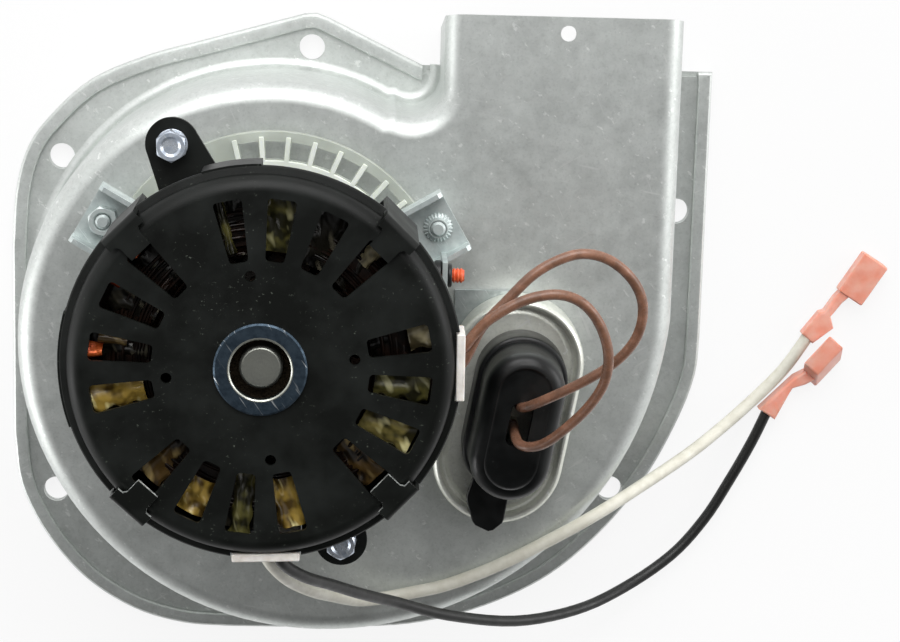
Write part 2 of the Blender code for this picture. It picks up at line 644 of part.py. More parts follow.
def cooling_fan(plastic):
    """Slotted cooling disc between the housing and the spider."""
    low = SHELL_HEIGHT + FAN_LIFT
    web = SHELL_HEIGHT + FAN_WEB_LIFT
    bore = SHAFT_RADIUS + FIT_GAP
    profile = [(bore, low + FAN_HUB_LENGTH), (FAN_HUB_RADIUS, low + FAN_HUB_LENGTH),
               (FAN_HUB_RADIUS, web + FAN_WEB), (FAN_RADIUS, web + FAN_WEB), (FAN_RADIUS, web),
               (FAN_HUB_RADIUS, web), (FAN_HUB_RADIUS, low), (bore, low)]
    fan = turned("cooling_fan", profile, plastic, 48)
    windows = []
    for group in range(WINDOW_GROUPS):
        for n in range(WINDOWS_IN_GROUP):
            angle = FIRST_WINDOW + 120 * group + math.degrees(WINDOW_PITCH) * n
            half_in = WINDOW_INNER * math.tan(WINDOW_PITCH / 2) - WINDOW_RIB / 2
            half_out = WINDOW_OUTER * math.tan(WINDOW_PITCH / 2) - WINDOW_RIB / 2
            shape = [(WINDOW_INNER, -half_in), (WINDOW_OUTER, -half_out), (WINDOW_OUTER, half_out),
                     (WINDOW_INNER, half_in)]
            windows.append(prism("window", leaned(shape, 0, 0, angle), web - GAP, web + FAN_WEB + GAP))
    combine(fan, [together("fan_windows", windows)], "DIFFERENCE")
    return fan


# ---- spider, studs and nuts ---------------------------------------------
def spider_outline():
    """Hub disc and three arms as one counter-clockwise outline."""
    points = []
    half = math.degrees(math.asin(ARM_HALF_WIDTH / SPIDER_HUB_RADIUS))
    for angle in ARM_ANGLES:
        points += leaned([(ARM_END, -ARM_HALF_WIDTH), (ARM_END, ARM_HALF_WIDTH)], 0, 0, angle)
        points += arc(0, 0, SPIDER_HUB_RADIUS, angle + half, angle + 120 - half, 6)
    return points


def motor_spider(zinc):
    """Pressed three-arm plate with turned-up arm walls and the strap screw's lug."""
    spider = prism("motor_spider", spider_outline(), SPIDER_LOW, SPIDER_HIGH, zinc)
    solids = []
    outer = ARM_HALF_WIDTH + SEAM
    for angle in ARM_ANGLES:
        for side in (-1, 1):
            edge = sorted((side * outer, side * (outer - SPIDER_THICKNESS)))
            solids.append(block("arm_wall", (ARM_WALL_START, edge[0], SPIDER_LOW + SEAM),
                                (ARM_END + SEAM, edge[1], SPIDER_HIGH + ARM_WALL_HEIGHT), angle))
    back = LUG_X + SPIDER_THICKNESS
    foot_low, foot_high = SPIDER_LOW + 2 * SEAM, SPIDER_HIGH - SEAM
    lug = [(SPIDER_HUB_RADIUS, foot_low), (back, foot_low), (back, LUG_TOP), (LUG_X, LUG_TOP),
           (LUG_X, foot_high), (SPIDER_HUB_RADIUS, foot_high)]
    solids.append(prism("lug", lug, -LUG_Y - LUG_HALF_WIDTH, -LUG_Y + LUG_HALF_WIDTH, turn=standing(0)))
    combine(spider, solids, "UNION")
    holes = [lying_bar("lug_hole", STRAP_SCREW_RADIUS + GAP, LUG_X - GAP, back + GAP),
             drum("hub_hole", SPIDER_EYE_RADIUS, SPIDER_LOW - GAP, SPIDER_HIGH + GAP, sides=40)]
    for angle in ARM_ANGLES:
        x, y = polar(STUD_CIRCLE, angle)
        holes.append(drum("hole", STUD_THREAD_RADIUS + GAP, SPIDER_LOW - GAP, SPIDER_HIGH + GAP,
                          sides=16, x=x, y=y))
    combine(spider, [together("spider_holes", holes)], "DIFFERENCE")
    return spider


def lying_bar(name, radius, start, end, material=None, sides=16):
    """A round bar along +X on the strap screw's line."""
    lay = Matrix.Translation((0, 0, STRAP_SCREW_HEIGHT)) @ Matrix.Rotation(math.pi / 2, 4, "Y")
    return drum(name, radius, start, end, material, sides=sides, y=LUG_Y, turn=lay)


def strap_screw(painted):
    """Short lacquered screw through the spider's lug."""
    inner = LUG_X - GAP - STRAP_SCREW_HEAD_THICKNESS
    screw = lying_bar("strap_screw", STRAP_SCREW_RADIUS, inner + 5 * SEAM, LUG_X + STRAP_SCREW_REACH,
                      painted)
    head = lying_bar("strap_screw_head", STRAP_SCREW_HEAD, inner, LUG_X - GAP)
    combine(screw, [head], "UNION")
    return screw


def spider_stud(number, angle, zinc):
    """Shouldered stud from the housing face to one spider arm."""
    x, y = polar(STUD_CIRCLE, angle)
    top = SPIDER_HIGH + STUD_ABOVE_SPIDER
    inside = SHELL_HEIGHT - SHELL_THICKNESS - GAP
    profile = [(0, top), (STUD_THREAD_RADIUS - GAP, top), (STUD_THREAD_RADIUS, top - GAP),
               (STUD_THREAD_RADIUS, SPIDER_LOW - GAP), (STUD_SHOULDER_RADIUS, SPIDER_LOW - GAP),
               (STUD_SHOULDER_RADIUS, SHELL_HEIGHT + GAP), (STUD_THREAD_RADIUS, SHELL_HEIGHT + GAP),
               (STUD_THREAD_RADIUS, inside), (STUD_HEAD_RADIUS, inside),
               (STUD_HEAD_RADIUS, inside - STUD_HEAD_THICKNESS), (0, inside - STUD_HEAD_THICKNESS)]
    stud = turned(f"spider_stud_{number}", profile, zinc, 12, closed=False)
    stud.location = (x, y, 0)
    return stud


def corner_radius(flats):
    """Radius of a hexagon's corners from its width across flats."""
    return flats / 2 / math.cos(math.pi / 6)


def hex_nut(name, flats, low, high, bore, x, y, zinc):
    nut = drum(name, corner_radius(flats), low, high, zinc, sides=6, x=x, y=y)
    hole = drum(name + "_bore", bore, low - GAP, high + GAP, sides=12, x=x, y=y)
    combine(nut, [hole], "DIFFERENCE")
    return nut


def lock_nut(name, low, bore, x, y, zinc):
    """Round push nut with a toothed skirt and a raised collar."""
    top, collar = low + LOCK_NUT_HEIGHT, bore + LOCK_NUT_COLLAR
    profile = [(bore, top), (collar, top), (collar + SEAM, low + LOCK_NUT_HEIGHT / 2),
               (LOCK_NUT_RADIUS, low + LOCK_NUT_SKIRT), (LOCK_NUT_RADIUS, low), (bore, low)]
    nut = turned(name, profile, zinc, 16)
    nut.location = (x, y, 0)
    return nut


# ---- motor --------------------------------------------------------------
def lower_end_shell(black):
    """Drawn lower shell with its stack seat, ears and four crimp straps."""
    low, high, sheet = MOTOR_LOW, MOTOR_JOINT, MOTOR_SHEET
    seat = STACK_LOW - GAP
    floor = low + sheet
    step, wall = STACK_STEP_RADIUS, LOWER_FLOOR_RADIUS
    profile = [(FLANGE_RADIUS, high), (FLANGE_RADIUS, high - FLANGE_SHEET),
               (step + GAP, high - FLANGE_SHEET), (step, seat - sheet), (step - SEAT_STEP, seat - SEAT_STEP),
               (wall, low + FLOOR_ROUND), (wall - sheet, floor), (wall - FLOOR_ROUND, low),
               (SHELL_EYE_RADIUS, low), (SHELL_EYE_RADIUS, floor), (COLLAR_INNER, floor),
               (COLLAR_INNER, floor + LOWER_COLLAR), (COLLAR_OUTER, floor + LOWER_COLLAR),
               (COLLAR_OUTER, floor), (wall - sheet * 3, floor), (wall - sheet, low + FLOOR_ROUND),
               (step - SEAT_STEP - sheet, seat), (STACK_RADIUS + GAP, seat), (STACK_RADIUS + 2 * GAP, high)]
    shell = turned("lower_end_shell", profile, black, 48)
    solids = []
    for angle, distance in EAR_PLACES:
        end = arc(distance, 0, EAR_RADIUS, -90, 90, 8)
        root = EAR_RADIUS + EAR_FLARE
        shape = [(step, -root)] + end + [(step, root)]
        solids.append(prism("ear", leaned(shape, 0, 0, angle), high - FLANGE_SHEET + SEAM, high + SEAM))
    inside = COVER_RADIUS + GAP
    outside = inside + STRAP_THICKNESS
    root = FLANGE_RADIUS - 2 * GAP
    fold = COVER_TOP + GAP
    top = fold + STRAP_THICKNESS
    for angle in STRAP_ANGLES:
        foot_low, foot_high = high - FLANGE_SHEET + SEAM, high - SEAM
        shape = [(root, foot_low), (outside, foot_low), (outside, top), (STRAP_SHOULDER, top),
                 (STRAP_SHOULDER, fold), (inside, fold), (inside, foot_high), (root, foot_high)]
        solids.append(prism("strap", shape, -STRAP_HALF_WIDTH, STRAP_HALF_WIDTH, turn=standing(angle)))
        solids.append(block("strap_tip", (STRAP_REACH, -STRAP_TIP_HALF_WIDTH, fold + SEAM),
                            (COVER_RADIUS, STRAP_TIP_HALF_WIDTH, top - SEAM), angle))
    combine(shell, solids, "UNION")
    holes = []
    for angle, distance in EAR_PLACES:
        x, y = polar(distance, angle)
        holes.append(drum("hole", EAR_HOLE_RADIUS, high - EAR_NUT_HEIGHT, high + GAP, sides=16, x=x, y=y))
    combine(shell, [together("ear_holes", holes)], "DIFFERENCE")
    return shell


def upper_end_shell(black):
    """Drawn cover with vent slots, bearing collar, bead and lead windows."""
    low, top, sheet = COVER_LOW, COVER_TOP, MOTOR_SHEET
    bend = arc(COVER_RADIUS - COVER_ROUND, top - COVER_ROUND, COVER_ROUND, 90, 0, 3)
    inner_bend = arc(COVER_RADIUS - COVER_ROUND, top - COVER_ROUND, COVER_ROUND - sheet, 0, 90, 3)
    bead = top - COVER_ROUND - BEAD_DROP
    under = bead - BEAD_HEIGHT
    profile = [(SHELL_EYE_RADIUS, top)] + bend
    profile += [(BEAD_RADIUS, bead), (BEAD_RADIUS, under), (COVER_RADIUS - SEAM, under - SEAM),
                (FLANGE_RADIUS, low), (FLANGE_RADIUS - sheet, low),
                (COVER_RADIUS - sheet - SEAM, under - SEAM)]
    profile += inner_bend
    profile += [(COLLAR_OUTER, top - sheet), (COLLAR_OUTER, top - sheet - UPPER_COLLAR),
                (COLLAR_INNER, top - sheet - UPPER_COLLAR), (COLLAR_INNER, top - sheet),
                (SHELL_EYE_RADIUS, top - sheet)]
    cover = turned("upper_end_shell", profile, black, 48)
    inner = COVER_RADIUS - sheet / 2
    lugs = [prism("lug", sector(inner, LUG_RADIUS, start, end, count), bead - LUG_DEPTH, bead - SEAM)
            for start, end, count in LUG_SPANS]
    combine(cover, lugs, "UNION")
    cuts = [vent_slot(FIRST_SLOT + 90 * quarter + SLOT_STEP * n) for quarter in range(4) for n in range(4)]
    for n in range(4):
        x, y = polar(PIN_HOLE_CIRCLE, FIRST_PIN_HOLE + 90 * n)
        cuts.append(drum("hole", PIN_HOLE_RADIUS, top - 0.003, top + GAP, sides=10, x=x, y=y))
    half = BUSHING_HALF_WIDTH + GAP
    for angle in BUSHING_ANGLES.values():
        cuts.append(block("lead_window", (BUSHING_INNER, -half, low + BUSHING_LOW - GAP),
                          (COVER_RADIUS + GAP, half, low + BUSHING_NECK_HIGH + GAP), angle))
    notches = [(angle, half) for angle in BUSHING_ANGLES.values()]
    notches += [(angle, STRAP_HALF_WIDTH + GAP) for angle in STRAP_ANGLES]
    for angle, half in notches:
        cuts.append(block("bead_notch", (COVER_RADIUS + SEAM, -half, bead - LUG_DEPTH - GAP),
                          (LUG_RADIUS + GAP, half, top), angle))
    combine(cover, cuts, "DIFFERENCE")
    return cover


def vent_slot(angle):
    """Cutter for one flared radial slot."""
    c = SLOT_CHAMFER
    half_in, half_out = SLOT_WIDTH_INNER / 2, SLOT_WIDTH_OUTER / 2
    side = [(SLOT_INNER, half_in - c), (SLOT_INNER + c, half_in), (SLOT_OUTER - c, half_out),
            (SLOT_OUTER, half_out - c)]
    shape = [(x, -y) for x, y in side] + side[::-1]
    return prism("slot", leaned(shape, 0, 0, angle), COVER_TOP - 0.003, COVER_TOP + GAP)


def lead_bushing(name, angle, nylon):
    """White block in a window of the cover, with a lip that overhangs the leads."""
    low = COVER_LOW
    lip = COVER_RADIUS + GAP
    outer = lip + BUSHING_LIP
    shape = [(BUSHING_INNER + GAP, low + BUSHING_LOW), (lip, low + BUSHING_LOW),
             (lip, low + BUSHING_LIP_LOW), (outer, low + BUSHING_LIP_LOW),
             (outer, low + BUSHING_HIGH), (lip, low + BUSHING_HIGH),
             (lip, low + BUSHING_NECK_HIGH), (BUSHING_INNER + GAP, low + BUSHING_NECK_HIGH)]
    half = BUSHING_HALF_WIDTH
    return prism(name, shape, -half, half, nylon, turn=standing(angle))


def standing(angle):
    """Turns a flat (radius, height) shape upright at an angle round the axis."""
    return Matrix.Rotation(math.radians(angle), 4, "Z") @ Matrix.Rotation(math.pi / 2, 4, "X")


def winding(name, low, high, outer, enamel):
    """End turns as one rounded ring."""
    bend = WINDING_ROUND
    profile = [(WINDING_INNER + bend, high), (outer - bend, high), (outer, high - bend),
               (outer, low + bend), (outer - bend, low), (WINDING_INNER, low)]
    return turned(name, profile, enamel, 36)


def hex_screw(name, x, y, zinc):
    """Hex washer-head screw through one ear."""
    seat = MOTOR_JOINT + SEAM + GAP
    top = seat + EAR_WASHER + EAR_SCREW_HEAD
    screw = drum(name, EAR_SCREW_RADIUS, seat - EAR_SCREW_LENGTH, seat + SEAM, zinc, sides=12, x=x, y=y)
    washer = drum(name + "_washer", EAR_WASHER_RADIUS, seat, seat + EAR_WASHER, sides=20, x=x, y=y)
    head = drum(name + "_head", corner_radius(EAR_SCREW_FLATS), seat + EAR_WASHER / 2, top, sides=6,
                x=x, y=y)
    dish = drum(name + "_dish", EAR_SCREW_DISH_RADIUS, top - EAR_SCREW_DISH, top + GAP, sides=12,
                x=x, y=y)
    combine(screw, [washer, head], "UNION")
    combine(screw, [dish], "DIFFERENCE")
    return screw


# ---- capacitor ----------------------------------------------------------
def can_outline(half_width, half_length, along=0.0, across=0.0):
    """An oval on the capacitor's own leaning axes."""
    (x, y), = leaned([(across, along)], CAPACITOR_X, CAPACITOR_Y, CAPACITOR_LEAN)
    return oval(x, y, half_width, half_length, CAPACITOR_LEAN)


def can_box(name, across, along, low, high, material=None):
    """A box on the capacitor's leaning axes."""
    shape = [(across[0], along[0]), (across[1], along[0]), (across[1], along[1]), (across[0], along[1])]
    return prism(name, leaned(shape, CAPACITOR_X, CAPACITOR_Y, CAPACITOR_LEAN), low, high, material)


def capacitor_bracket(zinc):
    """Flat plate under the can, with a tab towards the spider."""
    low = SHELL_HEIGHT + GAP
    outline = can_outline(CAN_HALF_WIDTH - BRACKET_MARGIN, CAN_HALF_LENGTH - BRACKET_MARGIN)
    bracket = prism("capacitor_bracket", outline, low, low + BRACKET_THICKNESS, zinc)
    tab = block("bracket_tab", (BRACKET_TAB_LEFT, BRACKET_TAB_LOW, low + SEAM),
                (CAPACITOR_X, BRACKET_TAB_HIGH, low + BRACKET_THICKNESS - SEAM))
    combine(bracket, [tab], "UNION")
    return bracket


def capacitor_can(metal):
    """Oval can with a rolled rim and a sunk top."""
    can = prism("capacitor_can", can_outline(CAN_HALF_WIDTH, CAN_HALF_LENGTH), CAN_LOW, CAN_TOP, metal,
                round_top=CAN_RIM * 0.4, steps=2)
    sunk = prism("can_sunk_top", can_outline(CAN_HALF_WIDTH - CAN_RIM, CAN_HALF_LENGTH - CAN_RIM),
                 CAN_TOP - CAN_RECESS, CAN_TOP + GAP)
    combine(can, [sunk], "DIFFERENCE")
    return can


def capacitor_boot(rubber):
    """Rubber boot over the terminals, with a lead slot and a pull tab."""
    boot = prism("capacitor_boot", can_outline(BOOT_HALF_WIDTH, BOOT_HALF_LENGTH, BOOT_OFFSET, BOOT_SHIFT),
                 BOOT_LOW + SEAM, BOOT_TOP, rubber, round_top=BOOT_ROUND, steps=3)
    skirt = prism("boot_skirt", can_outline(BOOT_HALF_WIDTH + BOOT_SKIRT, BOOT_HALF_LENGTH + BOOT_SKIRT,
                                            BOOT_OFFSET, SKIRT_SHIFT),
                  BOOT_LOW, BOOT_LOW + BOOT_SKIRT_HEIGHT, round_top=0.0008, steps=2)
    tab = can_box("boot_tab", (BOOT_TAB_LEFT, BOOT_TAB_RIGHT), (-BOOT_TAB_REACH, -BOOT_TAB_ROOT),
                  CAN_TOP + GAP, CAN_TOP + GAP + BOOT_TAB_THICKNESS)
    hollow = prism("boot_hollow", can_outline(BOOT_HALF_WIDTH - BOOT_WALL, BOOT_HALF_LENGTH - BOOT_WALL,
                                              BOOT_OFFSET, BOOT_SHIFT),
                   BOOT_LOW - GAP, BOOT_TOP - BOOT_ROUND)
    slot = can_box("boot_slot", BOOT_SLOT[:2], BOOT_SLOT[2:], BOOT_TOP - BOOT_ROUND - 0.001, BOOT_TOP + GAP)
    combine(boot, [skirt, tab], "UNION")
    combine(boot, [hollow, slot], "DIFFERENCE")
    return boot


def capacitor_terminal(number, along, brass):
    """Flat blade on the can's sunk top, under the boot."""
    low = CAN_TOP - CAN_RECESS + GAP
    half = TERMINAL_THICKNESS / 2
    return can_box(f"capacitor_terminal_{number}", (-TERMINAL_HALF_WIDTH, TERMINAL_HALF_WIDTH),
                   (along - half, along + half), low, low + TERMINAL_HEIGHT, brass)


# ---- leads --------------------------------------------------------------
def lead(name, route, radius, pieces, insulation):
    """A round lead along a smooth curve through the route's points."""
    curve = bpy.data.curves.new(name, "CURVE")
    curve.dimensions = "3D"
    curve.bevel_depth = radius
    curve.bevel_resolution = 2
    curve.use_fill_caps = True
    points = curve_through([tuple(value * MM for value in point) for point in route], pieces)
    spline = curve.splines.new("POLY")
    spline.points.add(len(points) - 1)
    for knot, point in zip(spline.points, points):
        knot.co = (*point, 1)
    curve.materials.append(insulation)
    thing = bpy.data.objects.new(name, curve)
    parts.objects.link(thing)
    thing.parent = axis
    return thing


def sleeve_block(name, terminal, start, end, trim, lift, material=None):
    """A block along a terminal's axis, trimmed on its sides, floor and top."""
    half = terminal["across"] / 2 - trim
    shape = [(start, -half), (end, -half), (end, half), (start, half)]
    low = SLEEVE_LIFT + lift
    return prism(name, leaned(shape, terminal["x"], terminal["y"], terminal["angle"]),
                 low, SLEEVE_LIFT + terminal["tall"] - lift, material)


def lead_terminal(colour, terminal, plastic, brass):
    """Insulating sleeve with a flat neck and an open mouth, and the receptacle inside."""
    length = terminal["length"]
    sleeve = sleeve_block(f"{colour}_lead_sleeve", terminal, 0, length, 0, 0, plastic)
    points = [(x * MM, y * MM) for x, y in terminal["neck"]]
    neck_low = SLEEVE_LIFT + SEAM
    neck = prism(f"{colour}_sleeve_neck", points, neck_low, neck_low + NECK_THICKNESS)
    combine(sleeve, [neck], "UNION")
    hollow = sleeve_block(f"{colour}_sleeve_hollow", terminal, SLEEVE_BACK, length + GAP,
                          SLEEVE_WALL, SLEEVE_WALL)
    combine(sleeve, [hollow], "DIFFERENCE")
    sleeve_block(f"{colour}_lead_receptacle", terminal, SLEEVE_BACK + GAP, length - 2 * SLEEVE_WALL,
                 SLEEVE_WALL + GAP, SLEEVE_WALL + GAP, brass)


# ---- assembly -----------------------------------------------------------
def build():
    aluminised = paint("aluminised_sheet", (0.42, 0.43, 0.42), 0.42, 0.8)
    zinc = paint("zinc_plate", (0.60, 0.64, 0.64), 0.35, 0.8)
    black = paint("black_enamel", (0.014, 0.015, 0.014), 0.45)
    steel = paint("shaft_steel", (0.30, 0.30, 0.29), 0.35, 0.9)
    galvanised = paint("galvanised_sheet", (0.50, 0.52, 0.53), 0.4, 0.9)
    laminations = paint("core_steel", (0.12, 0.12, 0.12), 0.5, 0.7)
    copper = paint("winding_copper", (0.42, 0.16, 0.05), 0.4, 0.6)
    bronze = paint("sintered_bronze", (0.30, 0.20, 0.10), 0.6, 0.7)
    natural = paint("natural_plastic", (0.70, 0.76, 0.68), 0.45)
    nylon = paint("white_nylon", (0.70, 0.64, 0.61), 0.45)
    rubber = paint("boot_rubber", (0.008, 0.009, 0.009), 0.4)
    lacquer = paint("orange_lacquer", (0.75, 0.09, 0.03), 0.4)
    brass = paint("tinned_brass", (0.62, 0.58, 0.50), 0.35, 0.8)
    pink = paint("pink_sleeve", (0.87, 0.30, 0.21), 0.4)
    brown = paint("brown_insulation", (0.20, 0.06, 0.035), 0.45)
    dark = paint("black_insulation", (0.03, 0.03, 0.03), 0.45)
    pale = paint("white_insulation", (0.66, 0.64, 0.55), 0.5)
    washer_blue = paint("blue_zinc", (0.12, 0.17, 0.22), 0.35, 0.8)

    back_plate(aluminised)
    scroll_housing(aluminised)

    shaft(steel)
    impeller(galvanised)
    impeller_hub(steel)
    radial_bar("hub_set_screw", SET_SCREW_RADIUS, SHAFT_RADIUS + FIT_GAP, HUB_RADIUS, steel)
    cooling_fan(natural)

    motor_spider(zinc)
    strap_screw(lacquer)
    nut_low = SPIDER_HIGH + GAP
    bore = STUD_THREAD_RADIUS + FIT_GAP
    for number, angle in enumerate(ARM_ANGLES, start=1):
        x, y = polar(STUD_CIRCLE, angle)
        spider_stud(number, angle, zinc)
        if number == 1:
            lock_nut("spider_nut_1", nut_low, bore, x, y, zinc)
        else:
            hex_nut(f"spider_nut_{number}", NUT_ACROSS_FLATS, nut_low, nut_low + NUT_HEIGHT, bore, x, y,
                    zinc)

    lower_end_shell(black)
    upper_end_shell(black)
    ring("stator_core", ROTOR_RADIUS + AIR_GAP, STACK_RADIUS, STACK_LOW, STACK_HIGH, laminations, 48)
    winding("winding_lower", STACK_LOW - GAP - LOWER_WINDING_HEIGHT, STACK_LOW - GAP,
            LOWER_WINDING_OUTER, copper)
    winding("winding_upper", STACK_HIGH + GAP, STACK_HIGH + GAP + UPPER_WINDING_HEIGHT,
            WINDING_OUTER, copper)
    rotor_low, rotor_high = STACK_LOW - ROTOR_OVERHANG, STACK_HIGH + ROTOR_OVERHANG
    on_shaft = SHAFT_RADIUS + FIT_GAP
    ring("rotor_core", on_shaft, ROTOR_RADIUS, rotor_low, rotor_high, laminations, 36)
    floor = MOTOR_LOW + MOTOR_SHEET + GAP
    bearing_bore = SHAFT_RADIUS + RUN_GAP
    ring("lower_bearing", bearing_bore, BEARING_RADIUS, floor, floor + LOWER_BEARING_LENGTH, bronze, 28)
    collar = COVER_TOP - MOTOR_SHEET - UPPER_COLLAR + GAP
    ring("upper_bearing", bearing_bore, BEARING_RADIUS, collar, collar + UPPER_BEARING_LENGTH, bronze, 28)
    low = floor + LOWER_BEARING_LENGTH + GAP
    ring("thrust_collar_lower", on_shaft, COLLAR_RADIUS, low, low + COLLAR_LENGTH, steel, 24)
    ring("thrust_collar_upper", on_shaft, COLLAR_RADIUS, rotor_high + GAP, rotor_high + GAP + COLLAR_LENGTH,
         steel, 24)
    ring("bearing_washer", WASHER_INNER, WASHER_OUTER, COVER_TOP + GAP,
         COVER_TOP + GAP + WASHER_THICKNESS, washer_blue, 32)
    for name, angle in BUSHING_ANGLES.items():
        lead_bushing(name, angle, nylon)
    for number, (angle, distance) in enumerate(EAR_PLACES, start=1):
        x, y = polar(distance, angle)
        hex_screw(f"ear_screw_{number}", x, y, zinc)
        top = MOTOR_JOINT - FLANGE_SHEET - GAP
        hex_nut(f"ear_nut_{number}", NUT_ACROSS_FLATS, top - EAR_NUT_HEIGHT, top,
                EAR_SCREW_RADIUS + FIT_GAP, x, y, zinc)

    capacitor_bracket(zinc)
    capacitor_can(aluminised)
    capacitor_boot(rubber)
    for number, along in enumerate(TERMINAL_PLACES, start=1):
        capacitor_terminal(number, along, brass)

    lead("brown_lead_outer", OUTER_BROWN_ROUTE, BROWN_LEAD_RADIUS, 1, brown)
    lead("brown_lead_inner", INNER_BROWN_ROUTE, BROWN_LEAD_RADIUS, 1, brown)
    lead("black_lead", BLACK_ROUTE, BLACK_LEAD_RADIUS, 2, dark)
    lead("white_lead", WHITE_ROUTE, WHITE_LEAD_RADIUS, 1, pale)
    lead_terminal("white", WHITE_TERMINAL, pink, brass)
    lead_terminal("black", BLACK_TERMINAL, pink, brass)


clear_scene()
axis = bpy.data.objects.new("rotor_axis", None)
parts.objects.link(axis)
axis.location = (-(PLATE_LEFT + PLATE_RIGHT) / 2, -(PLATE_BOTTOM + OUTLET_MOUTH) / 2, 0)
build()
bpy.context.view_layer.update()
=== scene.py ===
"""Looks of a combustion fan: the finish of every surface, the fine shapes and the leads.

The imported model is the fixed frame.  Pieces are drawn in millimetres round the
motor shaft, with +Y out of the outlet and +Z from the back plate to the motor,
and are brought to the frame's metres when they are finished.
"""
import math
import random

import bpy
from mathutils import Matrix, Vector


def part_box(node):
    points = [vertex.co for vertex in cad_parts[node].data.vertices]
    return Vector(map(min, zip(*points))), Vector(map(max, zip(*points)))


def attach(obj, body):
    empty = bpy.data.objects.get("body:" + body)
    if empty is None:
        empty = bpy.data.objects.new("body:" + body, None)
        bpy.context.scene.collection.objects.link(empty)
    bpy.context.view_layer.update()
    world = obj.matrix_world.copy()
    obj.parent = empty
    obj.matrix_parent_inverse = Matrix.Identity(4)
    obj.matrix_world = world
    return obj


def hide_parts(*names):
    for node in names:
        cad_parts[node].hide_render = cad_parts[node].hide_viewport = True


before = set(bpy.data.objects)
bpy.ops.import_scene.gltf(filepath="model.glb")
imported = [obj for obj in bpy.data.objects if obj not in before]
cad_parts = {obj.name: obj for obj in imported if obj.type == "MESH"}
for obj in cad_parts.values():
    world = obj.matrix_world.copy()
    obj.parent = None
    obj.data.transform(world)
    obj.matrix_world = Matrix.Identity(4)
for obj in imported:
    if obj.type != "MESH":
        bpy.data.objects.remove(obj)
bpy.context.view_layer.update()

MM = 0.001
SHAFT_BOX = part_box("shaft")
AXIS_X = (SHAFT_BOX[0][0] + SHAFT_BOX[1][0]) / 2
AXIS_Y = (SHAFT_BOX[0][1] + SHAFT_BOX[1][1]) / 2


def ends(node):
    """The lowest and the highest point of one of the frame's nodes."""
    low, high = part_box(node)
    return low[2] / MM, high[2] / MM


# ---- heights, read from the frame
SHEET = 1.2
FLANGE_LOW, SHELL_TOP = ends("scroll_housing")
HEM_HIGH = ends("back_plate")[1]
SPIDER_LOW, LUG_TOP = ends("motor_spider")
SPIDER_HIGH = SPIDER_LOW + SHEET
SCREW_LINE = LUG_TOP - 3.7
COVER_LOW, COVER_TOP = ends("upper_end_shell")
MOTOR_LOW = ends("lower_end_shell")[0]
MOTOR_JOINT = COVER_LOW - 0.3
STACK_LOW, STACK_HIGH = ends("stator_core")
CAN_LOW, CAN_TOP = ends("capacitor_can")
BOOT_LOW, BOOT_TOP = ends("capacitor_boot")

# ---- sizes in the plane of the plate
FLANGE_TOP = 55.2
OUTLET_LEFT = 40.5
OUTLET_RIGHT = 98.5
OUTLET_MOUTH = 71.3
MOUTH_SET_BACK = 6.5
RUN_OUT = 14.0
HEM_END_X = 36.0
TONGUE = (32.8, 53.4)
COVER_RADIUS = 42.2
COVER_WAIST = 41.0
MOTOR_SHEET = 1.0
NECK_HOLE = 6.7
NECK_IN = 8.8
NECK_OUT = 10.3
BEAD_RADIUS = 43.9
LUG_RADIUS = 44.2
BEAD_HIGH = COVER_TOP - 3.7
STRAP_ANGLES = (46.1, 135.2, 228.2, 316.7)
BUSHING_ANGLES = {"lead_bushing_right": 0.5, "lead_bushing_bottom": -88.0}
ARM_ANGLES = (30, 150, 270)
STUD_CIRCLE = 45.4
EAR_PLACES = ((114.8, 50.0), (-68.2, 48.4))
SCREW_BESIDE = 13.1
CAPACITOR = (57.9, -24.1)
CAPACITOR_LEAN = -10
MOUNT_HOLES = ((-55.6, 29.8), (7.8, 59.1), (102.5, 19.0), (-57.4, -58.4), (88.2, -55.6))
SCROLL_STATIONS = (
    (60, 54.0), (105, 54.1), (150, 57.8), (180, 62.0), (220, 70.8), (265, 83.0), (300, 90.8),
    (330, 95.7), (358, 98.5)
)
PLATE_LOWER_RIGHT = (
    (110.3, -14.0), (109.6, -24.0), (106.0, -35.4), (99.0, -50.2), (90.0, -63.3), (79.5, -74.5),
    (68.3, -82.8), (53.0, -89.8), (36.0, -94.0), (15.0, -95.4)
)
PLATE_LOWER_LEFT = (
    (-12.0, -95.4), (-24.0, -94.6), (-37.0, -90.8), (-49.8, -82.6), (-60.0, -70.6), (-66.6, -57.0),
    (-68.4, -43.0)
)
PLATE_UPPER_LEFT = (
    (-68.4, 6.0), (-67.4, 20.5), (-64.5, 31.5), (-59.0, 39.7), (-48.3, 49.6), (-33.9, 56.1),
    (-20.0, 60.2)
)
PLATE_PEAK = ((5.9, 67.6), (9.0, 67.8), (12.2, 66.6))

